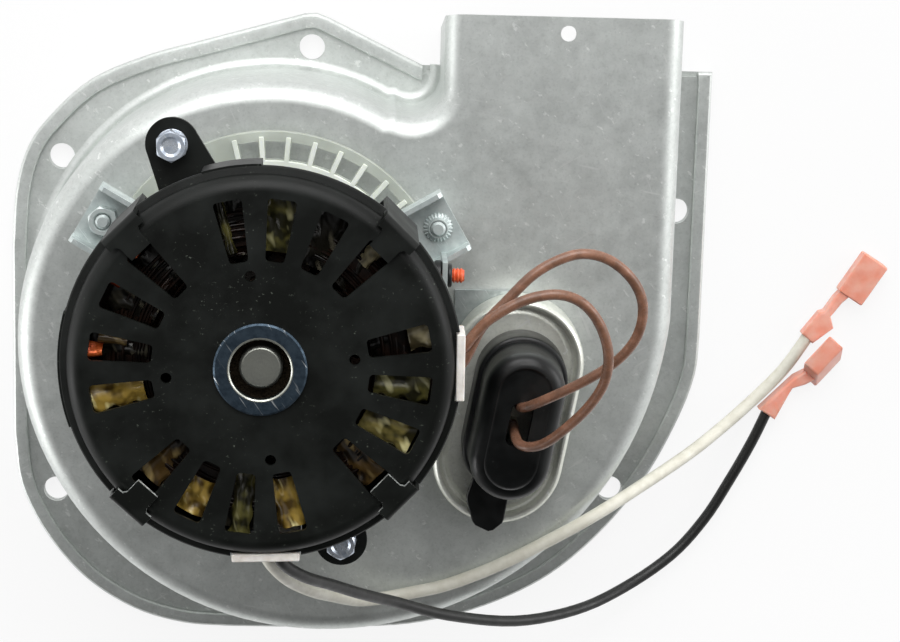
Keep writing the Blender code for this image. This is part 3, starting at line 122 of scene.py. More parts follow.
# ---- lead routes, the same as the frame's
OUTER_BROWN = (
    (43.0, -3.0, 91.9), (44.5, -2.4, 91.9), (46.0, 0.4, 92.1), (48.6, 6.0, 92.3),
    (53.8, 11.9, 92.0), (60.1, 18.4, 91.6), (66.8, 22.1, 91.0), (72.0, 22.9, 90.3),
    (77.3, 21.3, 89.4), (82.1, 17.3, 88.2), (84.9, 12.3, 87.0), (85.3, 6.7, 85.6),
    (83.8, 1.6, 84.2), (80.4, -3.2, 82.2), (75.8, -7.1, 80.4), (70.8, -10.5, 78.6),
    (65.8, -13.5, 76.8), (62.3, -15.7, 74.6), (60.2, -17.2, 71.6), (59.4, -18.0, 67.0),
    (59.2, -18.2, 57.3)
)
INNER_BROWN = (
    (43.0, 1.4, 94.9), (44.6, 2.0, 95.1), (46.7, 4.9, 95.4), (50.2, 8.6, 95.6), (56.7, 12.6, 95.6),
    (63.4, 14.4, 95.2), (68.8, 13.6, 94.6), (73.0, 10.4, 93.6), (76.1, 5.1, 92.2),
    (77.6, -1.1, 90.4), (76.9, -7.6, 88.0), (73.7, -14.0, 84.9), (68.9, -20.0, 81.4),
    (64.9, -24.0, 78.4), (61.5, -25.7, 75.8), (59.3, -25.7, 73.2), (58.6, -25.1, 70.4),
    (58.5, -24.8, 66.0), (58.5, -24.8, 57.3)
)
BLACK_LEAD = (
    (4.2, -42.9, 95.8), (4.5, -48.4, 94.9), (9.4, -54.0, 88.4), (16.2, -59.4, 78.0),
    (23.6, -65.0, 67.5), (31.4, -70.2, 57.0), (44.8, -77.2, 45.5), (62.5, -83.3, 31.0),
    (79.0, -84.4, 18.0), (92.3, -81.1, 9.0), (105.3, -73.4, 3.9), (113.9, -63.8, 2.2),
    (120.0, -53.3, 2.0), (125.4, -42.6, 2.2), (129.4, -33.1, 2.4)
)
WHITE_LEAD = (
    (0.4, -42.9, 94.0), (0.6, -45.4, 93.7), (2.0, -50.4, 90.0), (5.6, -57.2, 80.5),
    (10.7, -63.9, 68.0), (16.1, -68.8, 57.0), (22.4, -72.6, 48.5), (28.5, -73.9, 42.6),
    (35.5, -73.2, 40.2), (44.7, -71.0, 39.9), (56.7, -66.0, 39.9), (68.4, -59.8, 39.9),
    (80.2, -53.2, 38.8), (92.9, -47.6, 30.0), (106.4, -42.2, 17.5), (115.5, -37.4, 9.5),
    (124.4, -30.8, 4.5), (132.8, -22.4, 2.6), (139.3, -12.6, 2.4)
)
WHITE_TERMINAL = {"place": (148.9, -2.7), "angle": 57.7, "length": 12.0, "across": 7.4, "tall": 4.5,
                  "lean": (0.0, 0.0),
                  "neck": ((136.9, -12.5), (139.9, -15.1), (145.2, -10.9), (144.3, -7.8),
                           (147.1, -4.1), (150.0, -1.5), (147.3, 0.0), (145.0, -2.6),
                           (142.6, -6.3), (141.2, -6.8))}
BLACK_TERMINAL = {"place": (139.1, -21.1), "angle": 49.5, "length": 9.9, "across": 5.0, "tall": 7.2,
                  "lean": (1.0, -4.6),
                  "neck": ((126.7, -33.0), (131.1, -35.8), (134.6, -28.6), (135.4, -27.2),
                           (138.6, -26.2), (141.3, -24.7), (138.6, -22.4), (135.5, -24.1))}

# ---- camera
CAMERA_PLACE = (-0.0002, 0.1331, 0.6400)
CAMERA_TURN = (-11.772, -1.839, 1.567)
CAMERA_LENS = 100.0


def camera():
    """Long lens high above the outlet side, looking down at the motor."""
    data = bpy.data.cameras.new("camera")
    data.lens = CAMERA_LENS
    data.sensor_width = 36
    thing = bpy.data.objects.new("camera", data)
    thing.location = CAMERA_PLACE
    thing.rotation_euler = [math.radians(angle) for angle in CAMERA_TURN]
    bpy.context.scene.collection.objects.link(thing)
    bpy.context.scene.camera = thing


camera()


# ---- outlines
def polar(radius, degrees):
    angle = math.radians(degrees)
    return radius * math.cos(angle), radius * math.sin(angle)


def arc(x, y, radius, start, end, count):
    """Points on an arc, both ends included."""
    turns = [start + (end - start) * n / count for n in range(count + 1)]
    return [(x + polar(radius, turn)[0], y + polar(radius, turn)[1]) for turn in turns]


def curve_through(points, pieces):
    """A Catmull-Rom curve through the points, with its ends."""
    knots = [Vector(point) for point in points]
    knots = [2 * knots[0] - knots[1]] + knots + [2 * knots[-1] - knots[-2]]
    found = [knots[1]]
    for a, b, c, d in zip(knots, knots[1:], knots[2:], knots[3:]):
        for n in range(1, pieces + 1):
            t = n / pieces
            bend = (2 * a - 5 * b + 4 * c - d) * t * t + (3 * b - 3 * c + d - a) * t ** 3
            found.append((2 * b + (c - a) * t + bend) / 2)
    return [tuple(point) for point in found]


def inset(points, depth):
    """The counter-clockwise outline moved inwards by depth, with mitred corners."""
    count = len(points)
    moved = []
    for n, point in enumerate(points):
        here = Vector(point)
        before = (here - Vector(points[n - 1])).normalized()
        after = (Vector(points[(n + 1) % count]) - here).normalized()
        side = (Vector((-before.y, before.x)) + Vector((-after.y, after.x))).normalized()
        reach = depth / max(0.3, side.dot(Vector((-after.y, after.x))))
        moved.append(tuple(here + side * reach))
    return moved


def leaned(points, x, y, lean):
    """Points turned by lean degrees and moved to x, y."""
    spin = Matrix.Rotation(math.radians(lean), 2)
    return [tuple(spin @ Vector(point) + Vector((x, y))) for point in points]


def oblong(start, end, half):
    """A rectangle lying along x, as wide as twice half."""
    return [(start, -half), (end, -half), (end, half), (start, half)]


def collar(inner, outer, low, high, ease):
    """Profile of a ring whose two outer corners are taken off by ease."""
    return [(inner, low), (outer - ease, low), (outer, low + ease), (outer, high - ease),
            (outer - ease, high), (inner, high)]


def can_oval(half_width, half_length, across=0.0, along=0.0, count=20):
    """A stadium on the capacitor's own leaning axes."""
    straight = half_length - half_width
    points = arc(across, along + straight, half_width, 0, 180, count)
    points += arc(across, along - straight, half_width, 180, 360, count)
    return leaned(points, *CAPACITOR, CAPACITOR_LEAN)


def plate_outline():
    """Counter-clockwise from the top of the flange's right edge."""
    floor_line = OUTLET_MOUTH - MOUTH_SET_BACK
    points = [(OUTLET_RIGHT, FLANGE_TOP), (OUTLET_RIGHT, floor_line), (OUTLET_LEFT, floor_line),
              (OUTLET_LEFT, FLANGE_TOP), (HEM_END_X, FLANGE_TOP), *PLATE_PEAK[::-1]]
    for side in (PLATE_UPPER_LEFT, PLATE_LOWER_LEFT, PLATE_LOWER_RIGHT):
        points += curve_through(side, 5)[::-1]
    return points + [(PLATE_LOWER_RIGHT[0][0], FLANGE_TOP)]


def scroll_outline(depth=0.0):
    """Counter-clockwise outline of the wall, the outlet run out past its mouth."""
    far = OUTLET_MOUTH + RUN_OUT
    points = [(OUTLET_RIGHT, far), (OUTLET_LEFT, far)]
    points += arc(*TONGUE, OUTLET_LEFT - TONGUE[0], 0, -122, 16)
    points += [polar(radius, angle) for angle, radius in curve_through(SCROLL_STATIONS, 14)]
    return inset(points, depth) if depth else points


# ---- modelling
def clear():
    """Leaves edit mode with nothing selected."""
    if bpy.context.mode != "OBJECT":
        bpy.ops.object.mode_set(mode="OBJECT")
    bpy.ops.object.select_all(action="DESELECT")


def take(thing):
    clear()
    thing.select_set(True)
    bpy.context.view_layer.objects.active = thing


def edit(thing, test=None):
    """Opens a piece with all of it selected, or only the edges that pass the test."""
    take(thing)
    mesh = thing.data
    bpy.context.tool_settings.mesh_select_mode = (test is None, test is not None, False)
    for group in (mesh.vertices, mesh.edges, mesh.polygons):
        group.foreach_set("select", [test is None] * len(group))
    if test:
        pairs = [[mesh.vertices[n].co for n in edge.vertices] for edge in mesh.edges]
        mesh.edges.foreach_set("select", [bool(test(a, b)) for a, b in pairs])
    bpy.ops.object.mode_set(mode="EDIT")


def outwards(thing):
    """Closes seams and turns every face outwards."""
    edit(thing)
    bpy.ops.mesh.remove_doubles(threshold=0.0005)
    bpy.ops.mesh.delete_loose()
    bpy.ops.mesh.select_all(action="SELECT")
    bpy.ops.mesh.normals_make_consistent(inside=False)
    clear()


def named(name):
    thing = bpy.context.object
    thing.name = name
    thing.data.name = name
    return thing


def loop(name, points, fill="NOTHING"):
    """A circle whose corners are put on the points of an outline."""
    clear()
    bpy.ops.mesh.primitive_circle_add(vertices=len(points), radius=1, fill_type=fill)
    thing = named(name)
    for corner, point in zip(thing.data.vertices, points):
        corner.co = point
    return thing


def slab(name, points, low, high):
    """A flat outline pushed up from low to high."""
    thing = loop(name, [(x, y, low) for x, y in points], "NGON")
    edit(thing)
    bpy.ops.mesh.extrude_region_move(TRANSFORM_OT_translate={"value": (0, 0, high - low)})
    outwards(thing)
    return thing


def loft(name, rings, close_start=True, close_end=True):
    """Rings of points drawn out one after another, with the ends filled on request."""
    thing = loop(name, rings[0])
    count = len(rings[0])
    edit(thing)
    for ring in rings[1:]:
        bpy.ops.mesh.extrude_region_move(TRANSFORM_OT_translate={"value": (0, 0, 0)})
        bpy.ops.object.mode_set(mode="OBJECT")
        last = len(thing.data.vertices) - count
        for number, point in enumerate(ring):
            thing.data.vertices[last + number].co = point
        bpy.ops.object.mode_set(mode="EDIT")
    if close_end:
        bpy.ops.mesh.edge_face_add()
    if close_start:
        bpy.ops.mesh.select_all(action="DESELECT")
        bpy.ops.object.mode_set(mode="OBJECT")
        for corner in thing.data.vertices[:count]:
            corner.select = True
        bpy.ops.object.mode_set(mode="EDIT")
        bpy.ops.mesh.edge_face_add()
    outwards(thing)
    return thing


def rings_of(outline, steps):
    """The outline at each step of (depth inwards, height)."""
    return [[(x, y, height) for x, y in (inset(outline, depth) if depth else outline)]
            for depth, height in steps]


def spun(name, profile, steps=96, angle=360):
    """A closed profile of (radius, height) spun round the shaft."""
    thing = loop(name, [(radius, 0, height) for radius, height in profile])
    edit(thing)
    bpy.ops.mesh.spin(steps=steps, angle=math.radians(angle), center=(0, 0, 0), axis=(0, 0, 1))
    outwards(thing)
    return thing


def bar(name, radius, low, high, x=0.0, y=0.0, sides=32):
    """A round bar standing at x, y."""
    clear()
    bpy.ops.mesh.primitive_cylinder_add(vertices=sides, radius=radius, depth=high - low,
                                        location=(x, y, (low + high) / 2))
    bpy.ops.object.transform_apply(location=True, rotation=True, scale=True)
    return named(name)


def block(name, lows, highs, turn=0.0):
    """A box between two corners, turned about the shaft by an angle in degrees."""
    shape = [(lows[0], lows[1]), (highs[0], lows[1]), (highs[0], highs[1]), (lows[0], highs[1])]
    return slab(name, leaned(shape, 0, 0, turn), lows[2], highs[2])


def moved(thing, place=(0, 0, 0), turn=(0, 0, 0)):
    """Turns a piece by degrees, puts it in its place and applies both."""
    take(thing)
    thing.location = place
    thing.rotation_euler = [math.radians(angle) for angle in turn]
    bpy.ops.object.transform_apply(location=True, rotation=True, scale=True)
    return thing


def upright(name, profile, half_width, angle):
    """A (radius, height) outline as thick as twice half_width, stood at an angle round the shaft."""
    thing = slab(name, profile, -half_width, half_width)
    return moved(thing, turn=(90, 0, angle))


def twin(thing, name, turn):
    """A copy with its own mesh, turned by degrees."""
    take(thing)
    bpy.ops.object.duplicate()
    return moved(named(name), turn=turn)


def joined(things):
    """Several pieces as one object, the first one's name kept."""
    clear()
    for thing in things:
        thing.select_set(True)
    bpy.context.view_layer.objects.active = things[0]
    bpy.ops.object.join()
    return things[0]


def shaped(thing, kind, **settings):
    """Adds one modifier, sets it and applies it."""
    take(thing)
    step = thing.modifiers.new(kind.lower(), kind)
    for name, value in settings.items():
        setattr(step, name, value)
    bpy.ops.object.modifier_apply(modifier=step.name)
    return thing


def cut(thing, cutters, operation="DIFFERENCE"):
    """Takes the cutters out of a piece at once, or joins them to it one at a time."""
    if operation == "DIFFERENCE" and len(cutters) > 1:
        cutters = [joined(cutters)]
    for tool in cutters:
        shaped(thing, "BOOLEAN", operation=operation, solver="EXACT", object=tool)
        bpy.data.objects.remove(tool, do_unlink=True)
    return thing


def eased(thing, width, segments=2, angle=40):
    """Rounds every edge sharper than the angle."""
    return shaped(thing, "BEVEL", width=width, segments=segments, limit_method="ANGLE",
                  angle_limit=math.radians(angle), use_clamp_overlap=True)


def rounded(thing, test, width):
    """Bevels the edges that pass the test."""
    edit(thing, test)
    bpy.ops.mesh.bevel(offset=width, offset_type="OFFSET", segments=3, profile=0.5,
                       affect="EDGES", clamp_overlap=True)
    clear()
    return thing


def coat(thing, material):
    thing.data.materials.clear()
    thing.data.materials.append(material)


def finished(thing, material, slot, *nodes, body="housing", smooth=32):
    """Brings a piece to metres, gives it its finish, and hangs it on its body in place of its nodes."""
    take(thing)
    thing.scale = (MM, MM, MM)
    thing.location = (AXIS_X, AXIS_Y, 0)
    bpy.ops.object.transform_apply(location=True, rotation=True, scale=True)
    bpy.ops.object.shade_smooth_by_angle(angle=math.radians(smooth))
    shaped(thing, "WEIGHTED_NORMAL", keep_sharp=True, weight=80)
    coat(thing, material)
    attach(thing, body)
    if nodes:
        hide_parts(*nodes)


# ---- finishes
WHITE = (1, 1, 1, 1)


def linear(code):
    """Turns an sRGB hex colour into the linear values that a shader takes."""
    channels = [int(code[n:n + 2], 16) / 255 for n in (0, 2, 4)]
    return tuple(c / 12.92 if c <= 0.04045 else ((c + 0.055) / 1.055) ** 2.4 for c in channels) + (1.0,)


class Nodes:
    """A node tree, and the few kinds of node that everything here is built from."""

    def __init__(self, tree):
        self.tree = tree

    def add(self, kind, inputs=None, **settings):
        """Adds one node, sets it, links or fills the sockets given, and hands back its outputs."""
        made = self.tree.nodes.new("ShaderNode" + kind)
        for name, value in settings.items():
            setattr(made, name, value)
        for socket, value in (inputs or {}).items():
            if isinstance(value, bpy.types.NodeSocket):
                self.tree.links.new(value, made.inputs[socket])
            else:
                made.inputs[socket].default_value = value
        return made.outputs

    def maths(self, how, first, second):
        return self.add("Math", {0: first, 1: second}, operation=how)[0]

    def span(self, value, low, high, to_low=0.0, to_high=1.0):
        """Maps a value from one range to another and holds it inside."""
        return self.add("MapRange", {"Value": value, "From Min": low, "From Max": high,
                                     "To Min": to_low, "To Max": to_high})[0]

    def mixed(self, share, first, second):
        """Colour mix; either side may be a hex code or a socket."""
        first, second = (linear(side) if isinstance(side, str) else side for side in (first, second))
        return self.add("Mix", {0: share, 6: first, 7: second}, data_type="RGBA")[2]


class Finish(Nodes):
    """A material whose patterns lie on the object's own coordinates."""

    def __init__(self, name, **sockets):
        self.material = bpy.data.materials.new(name)
        self.material.use_nodes = True
        super().__init__(self.material.node_tree)
        self.shader = self.tree.nodes["Principled BSDF"].inputs
        for socket, value in sockets.items():
            self.shader[socket.replace("_", " ")].default_value = value
        self.place = self.add("TexCoord")["Object"]

    def grain(self, size, detail=3.0, roughness=0.5, stretch=None, turn=0.0):
        """Noise of size millimetres, stretch times as long along each axis once turned."""
        place = self.place
        if stretch:
            place = self.add("Mapping", {"Vector": place, "Scale": stretch,
                                         "Rotation": (0, 0, math.radians(turn))}, vector_type="TEXTURE")[0]
        return self.add("TexNoise", {"Vector": place, "Scale": 1 / (size * MM), "Detail": detail,
                                     "Roughness": roughness})["Fac"]

    def patches(self, low, high, *grain):
        """Noise cut down to what lies between two levels."""
        return self.span(self.grain(*grain), low, high)

    def rings(self, place, distortion, **settings):
        """Even lines, one every half millimetre."""
        return self.add("TexWave", {"Vector": place, "Scale": 1 / (0.5 * MM) / (2 * math.pi),
                                    "Distortion": distortion}, **settings)["Fac"]

    def tinge(self, colour, share, most, paler):
        """The colour, changed to another where share is full, by at most the part given."""
        return self.mixed(self.span(share, 0, 1, 0.0, most), colour, paler)

    def done(self, colour, bump=None, rough=None):
        """Links the colour, a bump of (pattern, strength, millimetres) and a roughness."""
        self.tree.links.new(colour, self.shader["Base Color"])
        if bump:
            height = self.add("Bump", {"Height": bump[0], "Strength": bump[1], "Distance": bump[2] * MM})[0]
            self.tree.links.new(height, self.shader["Normal"])
        if rough:
            self.tree.links.new(rough, self.shader["Roughness"])
        return self.material


def aluminised_sheet(name, base="D4D8D5", dark="CACECB", pale="E4E7E5", rough=0.47, metal=0.82):
    """Hot-dip aluminised steel, drawn and handled: a soft grey with cloudy matt spots,
    fine pits of the coating, and short bright scratches in every direction."""
    look = Finish(name, Metallic=metal, Roughness=rough)
    pits = look.grain(0.7, 2, 0.6)
    colour = look.mixed(look.patches(0.35, 0.68, 16, 4, 0.6), dark, base)
    colour = look.tinge(colour, look.patches(0.38, 0.66, 2.2, 3, 0.6), 0.35, pale)
    colour = look.mixed(look.span(pits, 0.3, 0.5, 0.16, 0.0), colour, "8C918E")
    colour = look.tinge(colour, look.patches(0.63, 0.69, 1.8, 3, 0.7, (1, 1.8, 1), 50), 0.7, "F2F4F2")
    worn = 0.0
    for turn, size, length in ((24, 0.7, 16), (-58, 0.8, 11), (81, 0.6, 14)):
        lines = look.patches(0.70, 0.76, size, 1, 0.4, (1, length, 1), turn)
        where = look.patches(0.5, 0.62, 14 + size, 1, 0.5)
        worn = look.maths("MAXIMUM", worn, look.maths("MULTIPLY", lines, where))
    rougher = look.span(look.grain(5, 3, 0.6), 0.3, 0.7, rough - 0.03, rough + 0.04)
    relief = look.mixed(0.4, pits, worn)
    return look.done(look.tinge(colour, worn, 0.6, "E4E6E4"), (relief, 0.25, 0.02), rougher)


def zinc_plate(name, base, dark, rough=0.34, metal=0.75, size=3.0):
    """Bright zinc plate with a clear passivate: pale blue-white, a little cloudy, with fine scuffs."""
    return two_tone(name, dark, base, (0.35, 0.7, size, 4, 0.6), (0.2, 0.02, 0.6, 2, 0.5),
                    (rough + 0.08, rough - 0.05), (0.5, "F0F4F4", 0.66, 0.74, 0.5, 1, 0.5, (1, 12, 3), 35),
                    Metallic=metal)


def black_enamel():
    """Baked black enamel on pressed steel: satin, with dust specks and dull rubbed patches."""
    look = Finish("black_enamel", Roughness=0.46, Specular_IOR_Level=0.24)
    rubbed = look.patches(0.4, 0.7, 12, 4, 0.6)
    dust, where = look.patches(0.66, 0.76, 0.9, 2, 0.7), look.patches(0.42, 0.62, 9, 2, 0.5)
    specks = look.maths("MULTIPLY", dust, where)
    return look.done(look.tinge(look.mixed(rubbed, "0B0D0B", "151816"), specks, 0.4, "7C8478"),
                     (look.grain(0.5, 2, 0.6), 0.25, 0.02), look.span(rubbed, 0, 1, 0.40, 0.54))


def boot_rubber():
    """Moulded black PVC: deep black with a soft satin sheen and a few pale scuffs."""
    return two_tone("boot_rubber", "070808", "101212", (0.4, 0.7, 8, 3, 0.6), (0.25, 0.03, 0.8, 2, 0.6),
                    (0.30, 0.44), (0.25, "6A6E6E", 0.70, 0.78, 1.2, 3, 0.7), Roughness=0.36,
                    Specular_IOR_Level=0.42)


def turned_steel():
    """Ground or turned steel: fine rings left by the tool round the shaft's axis."""
    look = Finish("ground_shaft_steel", Metallic=0.95)
    centred = look.add("Mapping", {"Vector": look.place, "Location": (-AXIS_X, -AXIS_Y, 0)})[0]
    rings = look.rings(centred, 0.6, wave_type="RINGS", rings_direction="Z")
    clouds = look.patches(0.35, 0.7, 2.0, 4, 0.6)
    return look.done(look.mixed(clouds, "AEB0A7", "CFD1C8"), (rings, 0.25, 0.01),
                     look.span(clouds, 0, 1, 0.4, 0.3))


def core_steel():
    """Silicon-steel laminations stacked flat: dull brown-grey with fine layer lines."""
    look = Finish("core_laminations", Metallic=0.7, Roughness=0.55)
    layers = look.rings(look.place, 0.4, wave_type="BANDS", bands_direction="Z")
    colour = look.mixed(layers, "2E2B28", "4A4744")
    return look.done(look.mixed(look.patches(0.4, 0.7, 4), colour, "5A4436"), (layers, 0.5, 0.05))


def slot_film(name, base, dark, pale):
    """Varnish-soaked polyester film round the coils: a yellowed sheet with sharp creases."""
    look = Finish(name, Roughness=0.28)
    ridges = look.grain(2.4, 1, 0.4, (1, 3, 1), 25)
    colour = look.mixed(look.patches(0.42, 0.58, 4.5, 2, 0.5, (1, 1, 0.5)), dark, base)
    return look.done(look.mixed(look.span(ridges, 0.6, 0.72), colour, pale), (ridges, 0.8, 0.9))


def two_tone(name, first, second, patches, bump=None, rough=None, marks=None, **sockets):
    """Two colours mixed by cloudy patches, a bump of (strength, millimetres, grain), a roughness that
    follows the patches from one value to another, and marks of (most, colour, patches)."""
    look = Finish(name, **sockets)
    share = look.patches(*patches)
    colour = look.mixed(share, first, second)
    if marks:
        colour = look.tinge(colour, look.patches(*marks[2:]), *marks[:2])
    if bump:
        bump = (look.grain(*bump[2:]) if bump[2:] else share, *bump[:2])
    return look.done(colour, bump, look.span(share, 0, 1, *rough) if rough else None)


def magnet_wire(name, dark, base):
    """Enamelled copper wire wound in hanks, two colours in cloudy patches; the colours given are near-black
    painted shade for the end turns and bright painted light for the lit strips under the vents.
    """
    return two_tone(name, dark, base, (0.35, 0.65, 2.5, 2, 0.5), Metallic=0.4, Roughness=0.32)


def natural_plastic(name, base, pale, cover):
    """Uncoloured moulded polypropylene: milky, a little green, and half clear where it is thin."""
    return two_tone(name, base, pale, (0.35, 0.7, 10, 3, 0.5), (0.15, 0.03, 1.0, 2, 0.5), Roughness=0.38,
                    Alpha=cover, IOR=1.49, Subsurface_Weight=0.25,
                    Subsurface_Radius=(0.003, 0.003, 0.002))


def wire_cover(name, base, dark, rough=0.4, size=3.0):
    """Extruded PVC on stranded wire: satin, soiled here and there, with a slight strand ripple."""
    return two_tone(name, dark, base, (0.36, 0.68, size, 3, 0.65), (0.3, 0.04, 0.9, 2, 0.5),
                    (rough + 0.1, rough - 0.05), Roughness=rough)


ALUMINISED = aluminised_sheet("aluminised_steel")
CAN_METAL = aluminised_sheet("aluminium_can", "E8EAE0", "D2D4CA", "F4F5EE", 0.36, 0.6)
ZINC = zinc_plate("clear_zinc_plate", "D6DEDC", "B8C2C1", 0.40, 0.55)
BRACKET_ZINC = zinc_plate("bracket_zinc_plate", "C9D0D0", "A6AEAE")
SCREW_ZINC = zinc_plate("blue_zinc_screw", "DEE4EC", "AEB8C6", 0.28, 0.6, 1.5)
WASHER_ZINC = zinc_plate("blue_zinc_washer", "4C5B68", "2C3843", 0.42, 0.85, 2.0)
GALVANISED = zinc_plate("galvanised_wheel", "B4B8B8", "8C9192", 0.42, 0.85, 8.0)
ENAMEL = black_enamel()
CUT_EDGE = two_tone("bare_cut_steel", "8A8E8B", "E4E8E5", (0.4, 0.6, 0.8, 3, 0.6), Metallic=0.4,
                    Roughness=0.35)
SHAFT_STEEL = turned_steel()
CORE = core_steel()
# Near-black wire colour: painted shade of the end turns deep under the cover, not the copper's own colour.
COPPER_PAINTED_SHADE = magnet_wire("magnet_wire", "080503", "26160D")
FILM_FINISH = {
    "amber": slot_film("amber_film", "A88C40", "4A3812", "E8DC9C"),
    "olive": slot_film("olive_film", "5C582E", "1E1D0E", "B0AC80"),
    "straw": slot_film("straw_film", "8C8048", "2E2A12", "E0D8A0"),
    "pale": slot_film("pale_film", "A89E7C", "4E4630", "F0EAD4"),
    "tan": slot_film("tan_film", "564222", "1C150C", "A08A5A"),
    # dark: a near-black sheet of painted shade, standing in for the shadow inside the motor under the
    # vents.
    "dark": slot_film("painted_shade_film", "1A1812", "080705", "5A5648"),
    # lit: bright copper strips, painted light where the vents let light fall on the windings.
    "lit": magnet_wire("magnet_wire_painted_light", "A03810", "E8743A"),
}
# Sintered bronze darkened to near black: painted shade of the bearing recesses, not the metal's own colour.
BRONZE_PAINTED_SHADE = two_tone("sintered_bronze", "241E16", "4A4032", (0.4, 0.6, 0.4, 2, 0.7), (0.4, 0.05, 0.4, 2, 0.7),
                  Metallic=0.8, Roughness=0.5)
NATURAL = natural_plastic("natural_polypropylene", "B4BAB0", "C8CEC4", 0.62)
NATURAL_THICK = natural_plastic("natural_polypropylene_ribs", "D8DED4", "EAEEE6", 0.96)
NYLON = two_tone("white_nylon", "ECE8E2", "D2CCC4", (0.4, 0.75, 3, 3, 0.6), (0.2, 0.02, 0.6, 2, 0.5),
                 Roughness=0.42, Subsurface_Weight=0.15, Subsurface_Radius=(0.002, 0.0015, 0.001))
RUBBER = boot_rubber()
LACQUER = two_tone("orange_lacquer", "D2481E", "F0784A", (0.35, 0.65, 1.0, 3, 0.6), (0.3, 0.05),
                   Roughness=0.36)
BRASS = two_tone("tinned_brass", "A89F88", "D2CBB8", (0.35, 0.65, 0.5, 2, 0.5, (1, 10, 1), 40),
                 (0.2, 0.01, 0.5, 2, 0.5, (1, 10, 1), 40), Metallic=0.9, Roughness=0.34)
PINK = two_tone("pink_nylon", "F3A28A", "F9BBA8", (0.35, 0.68, 4, 3, 0.5), (0.25, 0.08, 2.0, 2, 0.5),
                Roughness=0.3, Alpha=0.82, IOR=1.45, Subsurface_Weight=0.6,
                Subsurface_Radius=(0.008, 0.004, 0.003))
BROWN_COVER = wire_cover("brown_pvc", "946C58", "70503F", 0.24, 3.0)
BLACK_COVER = wire_cover("black_pvc", "1C1C1B", "111211", 0.40)
WHITE_COVER = wire_cover("white_pvc", "E0DED2", "CFCCBE", 0.42, 5.0)


# ---- light, floor and background
SKY_DARK_WAY = (0.05, -0.55, 0.83)
FLOOR_GLOW = 0.86
LAMPS_FACE = Vector((0, 0, 50))


def studio():
    """A pale sweep: white at the sides, greyer overhead, to the front and one way above it."""
    bpy.context.scene.view_settings.view_transform = "Standard"
    world = bpy.data.worlds.new("studio")
    world.use_nodes = True
    bpy.context.scene.world = world
    sky = Nodes(world.node_tree)
    facing = sky.add("TexCoord")["Generated"]
    apart = sky.add("SeparateXYZ", {0: facing})
    overhead = sky.span(apart["Z"], 0.1, 1.0, 0.95, 0.58)
    dark_way = sky.add("VectorMath", {0: facing, 1: SKY_DARK_WAY}, operation="DOT_PRODUCT")["Value"]
    dimmed = sky.maths("MULTIPLY", overhead, sky.span(dark_way, 0.55, 0.95, 1.0, 0.0))
    level = sky.maths("MULTIPLY", dimmed, sky.span(apart["Y"], -0.9, -0.1, 0.35, 1.0))
    back = sky.tree.nodes["Background"].inputs
    back["Color"].default_value = WHITE
    sky.tree.links.new(level, back["Strength"])


def floor():
    """White table, lit up where it is seen or mirrored, that keeps a faint shadow."""
    clear()
    bpy.ops.mesh.primitive_plane_add(size=14, location=(0, 0, -0.0004))
    table = named("studio_floor")
    paint = Finish("white_table", Base_Color=(0.85, 0.85, 0.85, 1), Roughness=0.7)
    rays = paint.add("LightPath")
    seen = paint.maths("MAXIMUM", rays["Is Camera Ray"], rays["Is Glossy Ray"])
    seen = paint.maths("MAXIMUM", seen, rays["Is Transmission Ray"])
    glow = paint.add("Emission", {"Color": WHITE, "Strength": 1.0})[0]
    matt = paint.tree.nodes["Principled BSDF"].outputs[0]
    both = paint.add("MixShader", {0: paint.maths("MULTIPLY", seen, FLOOR_GLOW), 1: matt, 2: glow})[0]
    paint.tree.links.new(both, paint.tree.nodes["Material Output"].inputs["Surface"])
    coat(table, paint.material)


def lamp(name, place, size, power):
    """Soft square lamp, turned to face a point over the object."""
    data = bpy.data.lights.new(name, "AREA")
    data.size = size
    data.energy = power
    thing = bpy.data.objects.new(name, data)
    bpy.context.scene.collection.objects.link(thing)
    thing.location = place
    direction = LAMPS_FACE * MM - Vector(place)
    thing.rotation_euler = direction.to_track_quat("-Z", "Y").to_euler()


studio()
floor()
lamp("soft_box_left", (-1.15, -0.35, 0.34), 0.7, 5.0)
lamp("soft_box_right", (1.15, 0.3, 0.40), 0.7, 5.0)
lamp("soft_box_far", (0.0, 1.05, 1.0), 1.2, 17.0)


# ---- leads
def lead(name, route, diameter, material):
    """A round lead on one smooth curve, from its exit to its far end."""
    shift = Vector((AXIS_X, AXIS_Y, 0))
    points = [Vector(point) * MM + shift for point in curve_through(route, 5)]
    curve = bpy.data.curves.new(name, "CURVE")
    curve.dimensions = "3D"
    curve.bevel_depth = diameter / 2 * MM
    curve.bevel_resolution = 6
    curve.use_fill_caps = True
    spline = curve.splines.new("POLY")
    spline.points.add(len(points) - 1)
    for knot, point in zip(spline.points, points):
        knot.co = (*point, 1)
    spline.use_smooth = True
    curve.materials.append(material)
    thing = bpy.data.objects.new(name + "_laid", curve)
    bpy.context.scene.collection.objects.link(thing)
    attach(thing, "housing")
    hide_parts(name)


